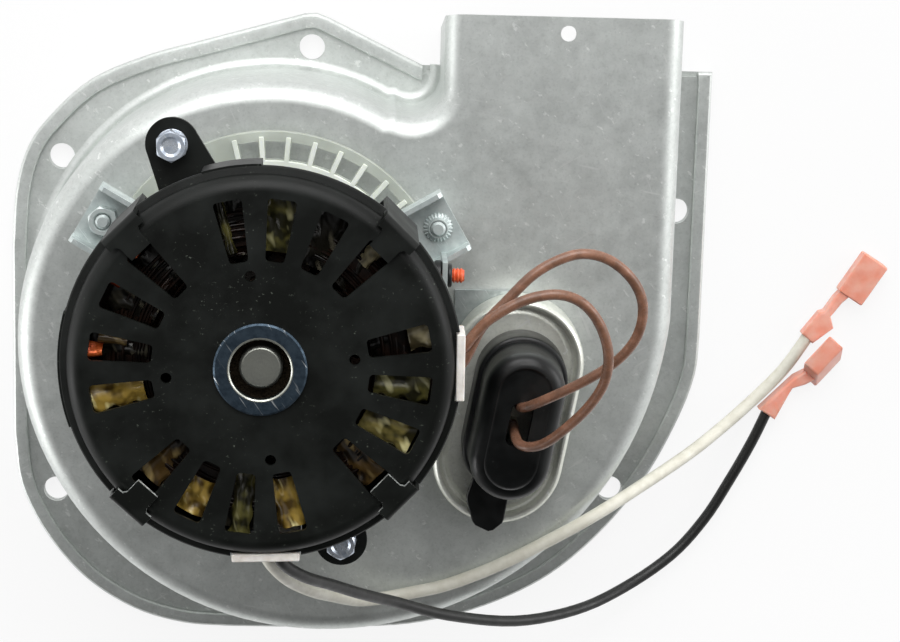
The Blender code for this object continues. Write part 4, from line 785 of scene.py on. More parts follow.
def terminal(colour, facts):
    """Tinted flag insulator: an open box, a narrow waist and a flared barrel, with its receptacle."""
    x, y = facts["place"]
    length, half, tall = facts["length"], facts["across"] / 2, facts["tall"]
    low, wall = 0.4, 0.8

    def boxed(name, start, end, inwards, gap):
        """A box that much in from the insulator's sides, and from its bottom and top."""
        shape = leaned(oblong(start, end, half - inwards), x, y, facts["angle"])
        return slab(name, shape, low + gap, low + tall - gap)

    def tilted(piece):
        for corner in piece.data.vertices:
            share = 1 - (corner.co.z - low) / tall
            corner.co.x += facts["lean"][0] * share
            corner.co.y += facts["lean"][1] * share

    box = boxed(f"{colour}_insulator", 0, length, 0, 0)
    rounded(box, lambda a, b: abs(a.z - b.z) > 1 or min(a.z, b.z) > low + 1, 0.5)
    hollow = boxed("hollow", 1.2, length + 1, wall, wall)
    tilted(box)
    tilted(hollow)
    neck = slab("neck", facts["neck"], low + 0.1, low + 4.0)
    rounded(neck, lambda a, b: min(a.z, b.z) > low + 3, 0.8)
    cut(box, [neck], "UNION")
    cut(box, [hollow])
    finished(box, PINK, "pink_sleeve", f"{colour}_lead_sleeve")
    inner = boxed(f"{colour}_receptacle", 1.5, length - 1.6, 1.2, 1.1)
    cut(inner, [boxed("entry", length - 5, length, 1.7, 1.5)])
    eased(inner, 0.25)
    tilted(inner)
    finished(inner, BRASS, "tinned_brass", f"{colour}_lead_receptacle")
    return box, inner


white_pieces = terminal("white", WHITE_TERMINAL)
black_pieces = terminal("black", BLACK_TERMINAL)
lead("brown_lead_outer", OUTER_BROWN, 2.4, BROWN_COVER)
lead("brown_lead_inner", INNER_BROWN, 2.4, BROWN_COVER)
lead("black_lead", BLACK_LEAD, 2.8, BLACK_COVER)
lead("white_lead", WHITE_LEAD, 3.2, WHITE_COVER)


# ---- housing
def mount_holes(radius, high):
    return [bar("hole", radius, -2, high, x, y, 40) for x, y in MOUNT_HOLES]


def stud_holes(low, high):
    return [bar("hole", 2.05, low, high, *polar(STUD_CIRCLE, angle), 24) for angle in ARM_ANGLES]


def back_plate():
    """Flat plate whose rim is folded back over the housing's flange."""
    folded = [(1.6, 0.0), (0.7, 0.12), (0.2, 0.55), (0.0, 1.3), (0.0, 2.5), (0.2, 3.25), (0.7, 3.68),
              (1.6, HEM_HIGH), (3.3, HEM_HIGH), (3.6, HEM_HIGH - 0.3), (3.6, HEM_HIGH - 1.0),
              (1.0, HEM_HIGH - 1.0), (1.0, 1.0)]
    plate = loft("plate_with_hem", rings_of(plate_outline(), folded))
    cut(plate, [block("hem_gap", (HEM_END_X, 45.2, 1.0), (106.7, 74, 6))])
    cut(plate, [bar("inlet", 36, -2, 6, sides=128)])
    cut(plate, mount_holes(3.25, 6) + [bar("duct_notch", 2.6, -2, 6, 73.3, 63.9)])
    eased(plate, 0.15, 2, 50)
    finished(plate, ALUMINISED, "aluminised_sheet", "back_plate")


def scroll_housing():
    """Drawn scroll: a flared foot, an upright wall and a soft edge round a flat face."""
    edge, under, over = 5.0, SHELL_TOP - 6, SHELL_TOP + 2
    steps = [(-2.6, 2.5), (-1.7, 2.62), (-0.95, 3.05), (-0.35, 3.85), (-0.05, 5.0), (0.0, 6.0),
             (0.0, SHELL_TOP - edge)]
    for n in range(1, 11):
        across, up = polar(edge, 9 * n)
        steps.append((edge - across, SHELL_TOP - edge + up))
    shell = loft("scroll_shell", rings_of(scroll_outline(), steps), close_start=False)
    edit(shell)
    bpy.ops.mesh.bisect(plane_co=(0, OUTLET_MOUTH, SHELL_TOP), plane_no=(0, 0.985, -0.174),
                        clear_outer=True)
    clear()
    shaped(shell, "SOLIDIFY", thickness=SHEET, offset=-1, use_even_offset=True)
    cut(shell, [bar("hole", 10, under, over, sides=64),
                bar("hole", 1.9, under, over, 70.2, OUTLET_MOUTH - 4)] + stud_holes(under, over))
    cut(shell, [block("left_foot", (32, FLANGE_TOP + 0.3, -1), (OUTLET_LEFT - 0.02, 90, 5.4)),
                block("right_foot", (OUTLET_RIGHT + 0.02, FLANGE_TOP + 0.3, -1), (106, 90, 5.4))])
    flange = slab("scroll_flange", inset(plate_outline(), 1.3), FLANGE_LOW, FLANGE_LOW + SHEET)
    cut(flange, [slab("inside", scroll_outline(SHEET), -2, 8)])
    cut(flange, mount_holes(3.3, 8))
    walls = [block("duct_foot", (side, FLANGE_TOP, FLANGE_LOW), (side + SHEET, 64.9, 6.2))
             for side in (OUTLET_LEFT, OUTLET_RIGHT - SHEET)]
    shell = joined([shell, flange] + walls)
    eased(shell, 0.2, 2, 50)
    finished(shell, ALUMINISED, "aluminised_sheet", "scroll_housing")


# ---- rotor
BORE = 4.9


def impeller():
    """Squirrel-cage wheel: curved blades between a back disc and a front ring."""
    low, high = ends("impeller")
    rim, root, count = 48.0, 39.6, 28
    disc = spun("wheel_disc", [(8.8, high), (rim - 0.3, high), (rim, high - 0.3), (rim, high - 2.2),
                               (rim - 0.8, high - 2.2), (rim - 1.0, high - 1.0), (8.8, high - 1.0)], 128)
    front = spun("wheel_ring", [(root, low + 0.3), (root + 0.3, low), (rim - 0.3, low), (rim, low + 0.3),
                                (rim, low + 2.2), (rim - 0.8, low + 2.2), (rim - 1.0, low + 1.0),
                                (root, low + 1.0)], 128)
    sides = ([], [])
    for n in range(7):
        share = n / 6
        radius = root + 0.2 + (rim - 1.1 - root) * share
        ahead, half = math.degrees(4.6 / rim) * share * share, math.degrees(0.35 / radius)
        sides[0].append(polar(radius, ahead - half))
        sides[1].append(polar(radius, ahead + half))
    blade = slab("wheel_blade", sides[0] + sides[1][::-1], low + 0.5, high - 0.5)
    blades = [blade] + [twin(blade, "wheel_blade", (0, 0, 360 * n / count)) for n in range(1, count)]
    wheel = joined([disc, front] + blades)
    wheel.name = "impeller_wheel"
    finished(wheel, GALVANISED, "galvanised_sheet", "impeller", body="rotor")


def hub_and_shaft():
    """Turned hub with its flange and set screw, and the ground shaft with bevelled ends."""
    low, high = ends("impeller_hub")
    hub = spun("wheel_hub", [(BORE, high), (13.2, high), (13.5, high - 0.3), (13.5, high - 1.2),
                             (8.5, high - 1.2), (8.5, low + 0.5), (8.0, low), (BORE, low)], 64)
    line = (0, 0, sum(ends("hub_set_screw")) / 2)
    cut(hub, [moved(bar("screw_hole", 2.15, 2, 12), line, (0, 90, 0))])
    screw = spun("set_screw", [(0, 8.5), (0.9, 8.5), (0.9, 7.4), (1.1, 7.4), (1.1, 8.5), (1.8, 8.5),
                               (2.0, 8.2), (2.0, 5.2), (0, 4.95)], 24)
    moved(screw, line, (0, 90, 0))
    low, high = ends("shaft")
    shaft = spun("motor_shaft", [(0, high), (4.05, high), (4.2, high - 0.03), (4.7, high - 0.45),
                                 (4.75, high - 0.55), (4.75, low + 0.6), (4.2, low), (0, low)], 96)
    for piece, node in ((hub, "impeller_hub"), (screw, "hub_set_screw"), (shaft, "shaft")):
        finished(piece, SHAFT_STEEL, "shaft_steel", node, body="rotor")


def cooling_fan():
    """Milky plastic disc with a hub and three groups of windows near its rim."""
    low, high = ends("cooling_fan")
    web, rim, hub = SHELL_TOP + 4.0, 42.9, 9.0
    window_in, window_out, rib_half = 36.0, 40.3, 0.6
    disc = spun("cooling_disc", [(BORE, high), (hub - 0.3, high), (hub, high - 0.3), (hub, web + 1.6),
                                 (9.3, web + 1.3), (rim - 0.3, web + 1.3), (rim, web + 1.0),
                                 (rim, web + 0.3), (rim - 0.3, web), (hub, web), (hub, low + 0.3),
                                 (hub - 0.3, low), (BORE, low)], 144)
    windows, ribs = [], []
    count, pitch = 9, 9.1
    spread = math.tan(math.radians(pitch / 2))
    for group in range(3):
        for n in range(count):
            angle = 26.15 + 120 * group + pitch * n
            half_in, half_out = window_in * spread - 0.75, window_out * spread - 0.75
            shape = [(window_in, -half_in), (window_out, -half_out), (window_out, half_out),
                     (window_in, half_in)]
            windows.append(slab("window", leaned(shape, 0, 0, angle), web - 1, web + 3))
            for side in ((-1, 1) if n == count - 1 else (-1,)):
                rib = leaned(oblong(35.4, rim - 1.4, rib_half), 0, 0, angle + side * pitch / 2)
                ribs.append(eased(slab("rib", rib, web + 1.2, web + 2.0), 0.2, 2, 50))
    cut(disc, windows)
    finished(disc, NATURAL, "natural_plastic", "cooling_fan", body="rotor")
    ring = spun("window_ribs", [(34.2, web + 1.2), (35.8, web + 1.2), (35.8, web + 1.8), (35.6, web + 2.0),
                                (34.4, web + 2.0), (34.2, web + 1.8)], 144)
    finished(joined([ring] + ribs), NATURAL_THICK, "natural_plastic", body="rotor")


# ---- spider, studs and nuts
def spider():
    """Pressed plate with three channel arms and the strap screw's lug."""
    half, hub, end, back = 7.6, 24.0, 50.0, 41.4
    under, over = SPIDER_LOW - 2, SPIDER_HIGH + 2
    reach = math.degrees(math.asin(half / hub))
    wall = [(end + 0.1, SPIDER_LOW + 0.1), (end + 0.1, SPIDER_HIGH + 4.2), (end - 0.8, SPIDER_HIGH + 5),
            (40.2, SPIDER_HIGH + 5), (38.6, SPIDER_HIGH + 3.2), (38.6, SPIDER_LOW + 0.1)]
    points, joins = [], []
    for angle in ARM_ANGLES:
        tip = [(end - 1.2, -half), (end, -half + 1.2), (end, half - 1.2), (end - 1.2, half)]
        points += leaned(tip, 0, 0, angle) + arc(0, 0, hub, angle + reach, angle + 120 - reach, 20)
    plate = slab("spider_plate", points, SPIDER_LOW, SPIDER_HIGH)
    for angle in ARM_ANGLES:
        for near, far in ((half - 1.1, half + 0.1), (-half - 0.1, -half + 1.1)):
            joins.append(moved(slab("arm_wall", wall, near, far), turn=(90, 0, angle)))
    lug = [(hub, SPIDER_LOW + 0.2), (back, SPIDER_LOW + 0.2), (back, LUG_TOP - 1.4), (back - 0.01, LUG_TOP),
           (back - SHEET, LUG_TOP), (back - SHEET, SPIDER_HIGH - 0.1), (hub, SPIDER_HIGH - 0.1)]
    joins.append(moved(slab("lug", lug, -SCREW_BESIDE - 3.6, -SCREW_BESIDE + 3.6), turn=(90, 0, 0)))
    cut(plate, joins, "UNION")
    cut(plate, [bar("eye", 12, under, over, sides=64),
                moved(bar("lug_hole", 2.05, -3, 3), (back - 0.6, SCREW_BESIDE, SCREW_LINE), (0, 90, 0))]
        + stud_holes(under, over))
    eased(plate, 0.3, 3, 35)
    finished(plate, ZINC, "zinc_plate", "motor_spider")


def threaded(radius, low, high, pitch=0.7, depth=0.3):
    """Profile of a thread's crests and roots from low up to high, as (radius, height)."""
    turns = max(2, int((high - low) / pitch))
    step = (high - low) / turns
    points = []
    for n in range(turns):
        start = low + (high - low) * n / turns
        points += [(radius - depth, start), (radius, start + step * 0.4), (radius, start + step * 0.6)]
    return points + [(radius - depth, high)]


def studs_and_nuts():
    """Shouldered studs from the housing to the spider, with one lock nut and two hex nuts."""
    inside, core = SHELL_TOP - 1.5, 1.75
    for number, angle in enumerate(ARM_ANGLES, start=1):
        x, y = polar(STUD_CIRCLE, angle)
        top = ends(f"spider_stud_{number}")[1]
        profile = [(0, inside - 1.2), (3.4, inside - 1.2), (3.6, inside - 1.0), (3.6, inside),
                   (core, inside), (core, SHELL_TOP + 0.3), (2.6, SHELL_TOP + 0.3),
                   (2.6, SPIDER_LOW - 0.3), (core, SPIDER_LOW - 0.3), (core, SPIDER_HIGH + 0.2)]
        profile += threaded(core, SPIDER_HIGH + 0.3, top - 0.3) + [(1.2, top), (0, top)]
        stud = moved(spun(f"stud_{number}", profile, 32), (x, y, 0))
        finished(stud, ZINC, "zinc_plate", f"spider_stud_{number}")
        low = ends(f"spider_nut_{number}")[0]
        nut = lock_nut(low) if number == 1 else hex_nut("hex_nut", 6.4, low, low + 2.8, 1.9)
        moved(nut, (x, y, 0), (0, 0, 12))
        nut.name = f"stud_nut_{number}"
        finished(nut, ZINC, "zinc_plate", f"spider_nut_{number}")


def hex_nut(name, flats, low, high, bore):
    """Hexagon with its corners turned off and a chamfered bore."""
    corner = flats / 2 / math.cos(math.pi / 6)
    nut = bar(name, corner, low, high, sides=6)
    dome = spun("dome", [(0, low - 1), (corner - 0.5, low - 0.2), (corner, low + 0.5), (corner, high - 0.5),
                         (corner - 0.5, high), (0, high + 1)], 48)
    cut(nut, [dome], "INTERSECT")
    hole = spun("bore", [(0, low - 1), (bore + 0.9, low - 0.5), (bore, low + 0.4), (bore, high - 0.4),
                         (bore + 0.9, high + 0.5), (0, high + 1)], 32)
    return cut(nut, [hole])


def lock_nut(low):
    """Push nut: a collar over a skirt of fine teeth."""
    def ring(radius, height, tooth=0.0):
        teeth = [tooth if n % 4 < 2 else 0 for n in range(96)]
        return [(*polar(radius + out, 3.75 * n), low + height + 0.25 * out) for n, out in enumerate(teeth)]

    rings = [ring(1.9, 0.0), ring(3.2, 0.0, 0.3), ring(3.2, 0.45, 0.3), ring(2.5, 0.95, 0.2),
             ring(2.45, 1.1), ring(2.35, 2.1), ring(2.2, 2.3), ring(1.95, 2.3), ring(1.9, 2.1),
             ring(1.9, 0.0)]
    return loft("lock_nut", rings, close_start=False, close_end=False)


def strap_screw():
    """Lacquered screw through the spider's lug, with a dark rubber grommet on either side."""
    start, end, core = 38.6, 45.4, 1.75
    place, turn = (0, SCREW_BESIDE, SCREW_LINE), (0, 90, 0)
    profile = [(0, start), (2.6, start), (3.1, start + 0.4), (3.1, start + 1.3), (core, start + 1.3),
               (1.7, start + 1.4)]
    profile += threaded(core, start + 1.6, end - 0.3, 0.75, 0.35) + [(1.3, end), (0, end)]
    screw = moved(spun("lacquered_screw", profile, 32), place, turn)
    finished(screw, LACQUER, "orange_lacquer", "strap_screw")
    for number, (near, far, reach) in enumerate(((start - 0.2, 40.1, 3.5), (41.45, 42.5, 2.8)), start=1):
        ring = spun(f"screw_grommet_{number}", collar(1.8, reach, near, far, 0.3), 40)
        finished(moved(ring, place, turn), RUBBER, "boot_rubber")


back_plate()
scroll_housing()
impeller()
hub_and_shaft()
cooling_fan()
spider()
studs_and_nuts()
strap_screw()


# ---- motor
def cover():
    """Drawn cover: a soft-edged face with sixteen vents, a bead, two lugs and two lead windows."""
    top, sheet, soft = COVER_TOP, MOTOR_SHEET, 3.4
    under, centre = BEAD_HIGH - 1.2, (COVER_RADIUS - soft, COVER_TOP - soft)
    profile = [(NECK_HOLE, top), *arc(*centre, soft, 90, 0, 10)]
    profile += [(BEAD_RADIUS - 0.3, BEAD_HIGH), (BEAD_RADIUS, BEAD_HIGH - 0.3), (BEAD_RADIUS, under + 0.3),
                (BEAD_RADIUS - 0.3, under), (COVER_RADIUS - 0.1, under - 0.1), (COVER_WAIST, COVER_LOW),
                (COVER_WAIST - sheet, COVER_LOW), (COVER_RADIUS - sheet - 0.1, under - 0.1)]
    profile += arc(*centre, soft - sheet, 0, 90, 8)
    profile += [(NECK_OUT, top - sheet), (NECK_OUT, top - 12), (NECK_IN, top - 12), (NECK_IN, top - sheet),
                (NECK_HOLE, top - sheet)]
    shell = spun("motor_cover", profile, 192)
    lugs, cuts = [], []
    for start, end in ((90.6, 107.5), (165.4, 199.5)):
        lug = arc(0, 0, LUG_RADIUS, start, end, 24) + arc(0, 0, COVER_RADIUS - 0.5, end, start, 24)
        lugs.append(slab("lug", lug, BEAD_HIGH - 9.0, BEAD_HIGH - 0.1))
    cut(shell, lugs, "UNION")
    vent, round_off = [], 0.9
    for x, y, corner in ((23.6, -2.1, 225), (37.3, -3.15, 315), (37.3, 3.15, 45), (23.6, 2.1, 135)):
        inward = (x + (round_off if x < 30 else -round_off), y - math.copysign(round_off, y))
        vent += arc(*inward, round_off, corner - 45, corner + 45, 4)
    for quarter in range(4):
        for n in range(4):
            angle = 46.3 + 90 * quarter + 18.5 * n
            cuts.append(slab("vent", leaned(vent, 0, 0, angle), top - 4, top + 2))
        cuts.append(bar("pin_hole", 1.2, top - 4, top + 2, *polar(20.5, 6.8 + 90 * quarter), 24))
    for angle in BUSHING_ANGLES.values():
        cuts.append(block("lead_window", (39.2, -7.8, COVER_LOW + 1.7),
                          (42.5, 7.8, COVER_LOW + 15.3), angle))
    notches = [(angle, 7.8) for angle in BUSHING_ANGLES.values()] + [(angle, 5.1) for angle in STRAP_ANGLES]
    for angle, half in notches:
        cuts.append(block("bead_notch", (COVER_RADIUS + 0.1, -half, BEAD_HIGH - 9.3),
                          (46, half, top), angle))
    cut(shell, cuts)
    eased(shell, 0.14, 2, 50)
    finished(shell, ENAMEL, "black_enamel", "upper_end_shell")


def lower_shell():
    """Drawn lower shell with its stack seat, two ears and four straps crimped over the cover."""
    low, high, sheet = MOTOR_LOW, MOTOR_JOINT, MOTOR_SHEET
    seat, step, wall, soft = STACK_LOW - 0.3, 39.7, 36.0, 3.3
    profile = [(COVER_WAIST, high), (COVER_WAIST, high - 1.2), (step + 0.8, high - 1.2),
               (step + 0.1, high - 1.9), (step, seat - sheet), (step - 0.5, seat - 1.3),
               (step - 1.4, seat - 1.6), (wall + 0.1, low + 3.6)]
    profile += arc(wall - soft, low + soft, soft, 0, -90, 8)
    profile += [(NECK_HOLE, low), (NECK_HOLE, low + sheet), (NECK_IN, low + sheet), (NECK_IN, low + 10.5),
                (NECK_OUT, low + 10.5), (NECK_OUT, low + sheet)]
    profile += arc(wall - soft, low + soft, soft - sheet, -90, 0, 6)
    profile += [(step - 2.4, seat), (38.6, seat), (38.9, high)]
    shell = spun("motor_lower_shell", profile, 160)
    joins = []
    for angle, distance in EAR_PLACES:
        shape = [(step, -7.4), (42.5, -6.9), *arc(distance, 0, 6.0, -90, 90, 24), (42.5, 6.9), (step, 7.4)]
        joins.append(slab("ear", leaned(shape, 0, 0, angle), high - 1.1, high + 0.1))
    inside, outside = COVER_RADIUS + 0.3, COVER_RADIUS + 1.4
    fold, over = COVER_TOP + 0.3, COVER_TOP + 1.4
    centre = (outside - 1.5, over - 1.5)
    strap = [(40.4, high - 1.1), (outside, high - 1.1), *arc(*centre, 1.5, 0, 90, 8), (36.1, over),
             (36.1, fold), *arc(*centre, 0.4, 90, 0, 4), (inside, high - 0.1), (40.4, high - 0.1)]
    plan = [(30, -2.8), (39.6, -2.8), (40.5, -3.4), (40.5, -8), (50, -8), (50, 8), (40.5, 8), (40.5, 3.4),
            (39.6, 2.8), (30, 2.8)]
    for angle in STRAP_ANGLES:
        keep = slab("keep", leaned(plan, 0, 0, angle), low, over + 2)
        joins.append(cut(upright("strap", strap, 4.8, angle), [keep], "INTERSECT"))
    cut(shell, joins, "UNION")
    cut(shell, [bar("hole", 2.3, high - 4, high + 2, *polar(distance, angle))
                for angle, distance in EAR_PLACES])
    eased(shell, 0.2, 2, 50)
    finished(shell, ENAMEL, "black_enamel", "lower_end_shell")
    shell.data.materials.append(CUT_EDGE)
    for face in shell.data.polygons:
        x, y = face.center.x / MM - AXIS_X / MM, face.center.y / MM - AXIS_Y / MM
        outward = (face.normal.x * x + face.normal.y * y) / math.hypot(x, y)
        if face.center.z / MM > fold and y < 0 and outward < 0.2 and face.normal.z < 0.97:
            face.material_index = 1


def ear_screws():
    """Hex washer-head screws through the ears, with a dish in each head, and their nuts."""
    seat = MOTOR_JOINT + 0.4
    for number, (angle, distance) in enumerate(EAR_PLACES, start=1):
        place = (*polar(distance, angle), 0)
        low, top = ends(f"ear_screw_{number}")
        flange = spun("ear_screw", [(0, seat), (3.35, seat), (3.5, seat + 0.15), (3.45, seat + 0.35),
                                    (3.2, seat + 0.45), (0, seat + 0.45)], 64)
        head = hex_nut("head", 6.2, seat + 0.3, top, 0.01)
        cut(head, [spun("dish", [(0, top - 0.5), (1.7, top - 0.45), (2.25, top - 0.05), (2.3, top + 0.5),
                                 (0, top + 0.5)], 32)])
        thread = threaded(1.9, low + 0.3, seat + 0.2)
        shank = spun("shank", [(0, low), (1.4, low), *thread, (0, seat + 0.2)], 32)
        screw = moved(joined([flange, head, shank]), place, (0, 0, angle + 8))
        finished(screw, SCREW_ZINC, "zinc_plate", f"ear_screw_{number}")
        nut = hex_nut(f"ear_back_nut_{number}", 6.4, *ends(f"ear_nut_{number}"), 2.0)
        finished(moved(nut, place, (0, 0, angle)), ZINC, "zinc_plate", f"ear_nut_{number}")


def washer():
    """Blue-plated thrust washer on the cover, its inner edge rubbed bright."""
    low, high = ends("bearing_washer")
    piece = spun("thrust_washer", [(NECK_HOLE, low), (NECK_HOLE, high - 0.25), (6.95, high), (9.8, high),
                                   (10.2, high - 0.3), (10.2, low)], 96)
    finished(piece, WASHER_ZINC, "blue_zinc", "bearing_washer")
    rim = spun("washer_rubbed_rim", [(6.68, high - 0.5), (6.68, high - 0.2), (6.95, high + 0.03),
                                     (7.15, high + 0.03), (7.0, high - 0.3)], 96)
    finished(rim, SHAFT_STEEL, "blue_zinc")


def bushings():
    """White nylon blocks in the cover's windows, each with a lip over its leads."""
    lip, low = COVER_RADIUS + 0.3, COVER_LOW
    shape = [(39.5, low + 2), (lip, low + 2), (lip, low + 9.5), (lip + 1.9, low + 9.5),
             (lip + 1.9, low + 19.7), (lip, low + 19.7), (lip, low + 15), (39.5, low + 15)]
    for name, angle in BUSHING_ANGLES.items():
        piece = eased(upright(name.replace("lead", "nylon"), shape, 7.5, angle), 0.35, 3)
        finished(piece, NYLON, "white_nylon", name)


def core():
    """Laminated stack with winding slots inside, and the rotor's core with its bars."""
    stack = spun("lamination_stack", collar(19.6, 38.3, STACK_LOW, STACK_HIGH, 0.2), 120)
    shape = [(18, -0.8), (21.5, -0.8), (22.5, -1.9), (31, -2.6), (32, -1.6), (32, 1.6), (31, 2.6),
             (22.5, 1.9), (21.5, 0.8), (18, 0.8)]
    cut(stack, [slab("wire_slot", leaned(shape, 0, 0, 15 * n), STACK_LOW - 2, STACK_HIGH + 2)
                for n in range(24)])
    finished(stack, CORE, "core_steel", "stator_core")
    low, high = ends("rotor_core")
    drum = spun("rotor_drum", collar(BORE, 19.2, low, high, 0.6), 96)
    bars = 22
    cut(drum, [bar("bar_slot", 0.8, high - 0.8, high + 1, *polar(16.8, 360 / bars * n), 16)
               for n in range(bars)])
    finished(drum, CORE, "core_steel", "rotor_core", body="rotor")


def strands(name, inner, outer, low, high, count, seed):
    """A lumpy ring of end turns with single wires laid over it."""
    luck = random.Random(seed)
    middle, half = (inner + outer) / 2, (outer - inner) / 2
    section = []
    for n in range(20):
        x, y = polar(1, 18 * n)
        section.append((middle + (half - 1.2) * math.copysign(abs(x) ** 0.7, x),
                        (low + high) / 2 + ((high - low) / 2 - 1.0) * math.copysign(abs(y) ** 0.7, y)))
    body = spun(name, section, 120)
    for corner in body.data.vertices:
        turn = math.atan2(corner.co.y, corner.co.x)
        lump = 1 + 0.02 * math.sin(8 * turn + corner.co.z) + 0.012 * math.sin(21 * turn + 2 * corner.co.z)
        corner.co = (corner.co.x * lump, corner.co.y * lump, corner.co.z)
    wires, gauge = [body], 0.42
    for n in range(count):
        across = 2 * luck.random() - 1
        radius = middle + (half - 1.6) * across
        height = high - 0.5 - 1.7 * abs(across) ** 3 - 0.4 * luck.random()
        start, length, drift = 360 * luck.random(), 60 + 90 * luck.random(), 3 * (luck.random() - 0.5)
        wire = spun("wire", arc(radius, height, gauge, 0, 300, 5), 24, length)
        for corner in wire.data.vertices:
            share = abs(math.degrees(math.atan2(corner.co.y, corner.co.x))) / length
            reach, dip = 1 + drift * (share - 0.5) / radius, 2.2 * abs(2 * share - 1) ** 4
            corner.co = (corner.co.x * reach, corner.co.y * reach, corner.co.z - dip)
        edit(wire)
        bpy.ops.mesh.fill_holes(sides=8)
        wires.append(moved(wire, turn=(0, 0, start)))
    return joined(wires)


def windings():
    """End turns of enamelled wire above and below the stack."""
    for name, outer, count, seed in (("winding_upper", 36.2, 70, 3), ("winding_lower", 35.2, 26, 5)):
        low, high = ends(name)
        coil = strands(name.replace("winding", "end_turns"), 22.4, outer, low, high - 2.0, count, seed)
        # The end turns take the near-black wire colour, which is painted shade.
        finished(coil, COPPER_PAINTED_SHADE, "winding_copper", name, smooth=60)


def film(angle, inner, outer, half, height, lean, material, seed):
    """A creased sheet standing over the end turns under one vent; its finish makes it slot film, a
    near-black sheet of painted shade, or a bright strip of painted light on the wire.
    """
    clear()
    bpy.ops.mesh.primitive_grid_add(x_subdivisions=22, y_subdivisions=12, size=1)
    sheet = named(f"slot_film_{seed}")
    luck = random.Random(seed)
    folds = [(luck.uniform(0.9, 2.2), luck.uniform(50, 130), luck.uniform(0, 6)) for n in range(4)]
    for corner in sheet.data.vertices:
        across, along = corner.co.y * 2 * half, (corner.co.x + 0.5) * (outer - inner)
        crease = 0
        for size, way, start in folds:
            dx, dy = polar(1, way)
            crease += 0.38 * abs(math.sin((along * dx + across * dy) / size + start))
        rim = 1.4 * (2 * abs(corner.co.y)) ** 3
        corner.co = (inner + along, across * (1 + 0.12 * math.sin(along * 1.3 + start)),
                     height + lean * along + crease - rim)
    moved(sheet, turn=(0, 0, angle))
    shaped(sheet, "SOLIDIFY", thickness=0.25, offset=0)
    finished(sheet, material, "winding_copper", smooth=50)


# Sheets under the vents: angle, inner and outer radius, half width, height, lean and finish. The dark
# sheets are painted shade hiding the end turns; the lit strips are painted light on the wire.
FILMS = (
    (46.3, 31, 37.2, 1.6, 105.5, 0.1, "pale"), (47.5, 24, 31, 3.2, 104.0, 0.0, "dark"),
    (64.8, 24, 36.5, 4.0, 104.5, 0.1, "dark"), (83.3, 25, 37, 4.2, 105.5, 0.12, "olive"),
    (101.8, 24, 37, 3.4, 103.0, 0.05, "dark"), (105.6, 25, 37, 1.0, 105.5, 0.05, "olive"),
    (136.3, 25, 35, 3.4, 104.0, 0.05, "dark"), (139.4, 35.6, 37.5, 0.7, 106.5, 0.1, "lit"),
    (154.8, 25, 36, 3.6, 104.2, 0.1, "dark"), (151.2, 35.0, 37.4, 0.9, 106.5, 0.1, "lit"),
    (173.3, 25, 37, 3.4, 104.4, 0.05, "dark"), (171.6, 29.5, 35.8, 1.0, 106.4, 0.1, "tan"),
    (176.0, 34.6, 37.6, 1.5, 107.0, 0.1, "lit"), (191.8, 26, 37.5, 3.4, 106.5, 0.14, "amber"),
    (226.3, 25, 36, 3.6, 104.5, 0.1, "tan"), (244.8, 29, 37, 3.4, 106.0, 0.14, "amber"),
    (263.3, 24, 38.4, 2.2, 106.0, 0.1, "olive"), (263.3, 24, 38.4, 4.0, 103.0, 0.0, "dark"),
    (281.8, 26, 37, 3.2, 106.5, 0.12, "amber"), (316.3, 25, 36, 3.6, 104.5, 0.1, "tan"),
    (334.8, 25, 37, 3.8, 106.5, 0.12, "straw"), (353.3, 25, 37, 3.6, 106.0, 0.1, "olive"),
    (11.8, 32.6, 37.4, 3.0, 106.5, 0.12, "pale"), (11.8, 24, 32, 3.4, 104.0, 0.0, "dark")
)

cover()
lower_shell()
ear_screws()
washer()
bushings()
core()
windings()
for number, (angle, inner, outer, half, height, lean, finish) in enumerate(FILMS):
    film(angle, inner, outer, half, height, lean, FILM_FINISH[finish], number)


# ---- capacitor
def bracket_and_can():
    """Oval plate with a tab, and an oval can with a rolled rim standing on it."""
    low = SHELL_TOP + 0.3
    plate = slab("can_bracket", can_oval(15.0, 27.3), low, low + 0.8)
    cut(plate, [block("tab", (44.5, -10.0, low + 0.05), (57.9, 4.2, low + 0.75))], "UNION")
    finished(eased(plate, 0.2, 2, 45), BRACKET_ZINC, "zinc_plate", "capacitor_bracket")
    steps = [(1.0, 0.0), (0.3, 0.3), (0.0, 1.0), (0.0, 8.6), (0.12, 9.4), (0.5, 10.0), (0.95, 10.25),
             (1.35, 10.2), (1.75, 9.85), (1.95, 9.2), (2.0, 8.0), (2.3, 7.4), (2.9, 7.25), (3.6, 7.55),
             (4.2, 7.7)]
    can = loft("oval_can", [can_ring(16.0, 28.3, depth, CAN_LOW + height) for depth, height in steps])
    finished(can, CAN_METAL, "aluminised_sheet", "capacitor_can")


def can_ring(half_width, half_length, depth, height, across=0.0, along=0.0):
    oval = can_oval(half_width - depth, half_length - depth, across, along, 28)
    return [(x, y, height) for x, y in oval]


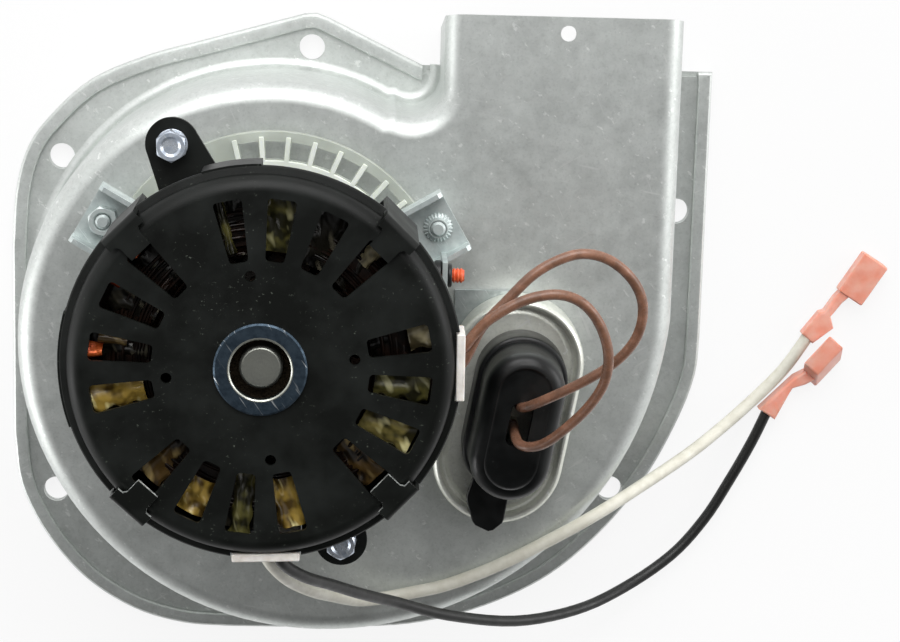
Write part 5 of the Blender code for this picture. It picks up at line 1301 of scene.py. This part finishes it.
def boot():
    """Stepped rubber boot with a slot for the leads and a pull tab."""
    aside = (1.0, 1.3)
    tiers = [(0.25, 0.0), (0.0, 0.25), (0.0, 8.2), (0.2, 8.75), (0.6, 9.0), (1.05, 9.02), (1.2, 9.4),
             (1.35, 19.2), (1.6, 20.6), (2.1, 21.6), (2.9, 22.3), (3.9, 22.7), (4.6, 22.78),
             (4.9, 22.62), (5.3, 22.6)]
    piece = loft("rubber_boot", [can_ring(11.0, 19.5, depth, BOOT_LOW + height, *aside)
                                 for depth, height in tiers])
    steps = ((0, BOOT_LOW - 1), (0, BOOT_TOP - 5), (1.5, BOOT_TOP - 3))
    hollow = loft("hollow", [can_ring(8.3, 16.8, depth, height, *aside) for depth, height in steps])
    cut(piece, [hollow])
    shape, round_off = [], 1.6
    for x, y, start in ((-1.5, -3.0, 180), (3.7, -3.0, 270), (3.7, 7.4, 0), (-1.5, 7.4, 90)):
        inward = (x + math.copysign(round_off, 1.1 - x), y + math.copysign(round_off, 2.2 - y))
        shape += arc(*inward, round_off, start, start + 90, 6)
    cut(piece, [slab("slot", leaned(shape, *CAPACITOR, CAPACITOR_LEAN), BOOT_TOP - 6, BOOT_TOP + 2)])
    shape = [(-5.2, -15.0), (-6.0, -22.0), (-5.6, -23.4), (-3.4, -27.8), (-2.4, -28.8), (1.0, -29.7),
             (2.2, -29.2), (4.0, -27.0), (4.2, -26.0), (4.0, -15.0)]
    tab = slab("pull_tab", leaned(shape, *CAPACITOR, CAPACITOR_LEAN), CAN_TOP + 0.3, CAN_TOP + 2.1)
    cut(piece, [eased(tab, 0.4, 3)], "UNION")
    finished(eased(piece, 0.3, 2, 55), RUBBER, "boot_rubber", "capacitor_boot")


bracket_and_can()
boot()

# ---- nodes of the frame that keep their own shape
# The bearings take the near-black bronze, which is painted shade of their recesses.
for node, material in (("capacitor_terminal_1", BRASS), ("capacitor_terminal_2", BRASS),
                       ("lower_bearing", BRONZE_PAINTED_SHADE), ("upper_bearing", BRONZE_PAINTED_SHADE),
                       ("thrust_collar_lower", SHAFT_STEEL), ("thrust_collar_upper", SHAFT_STEEL)):
    coat(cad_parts[node], material)
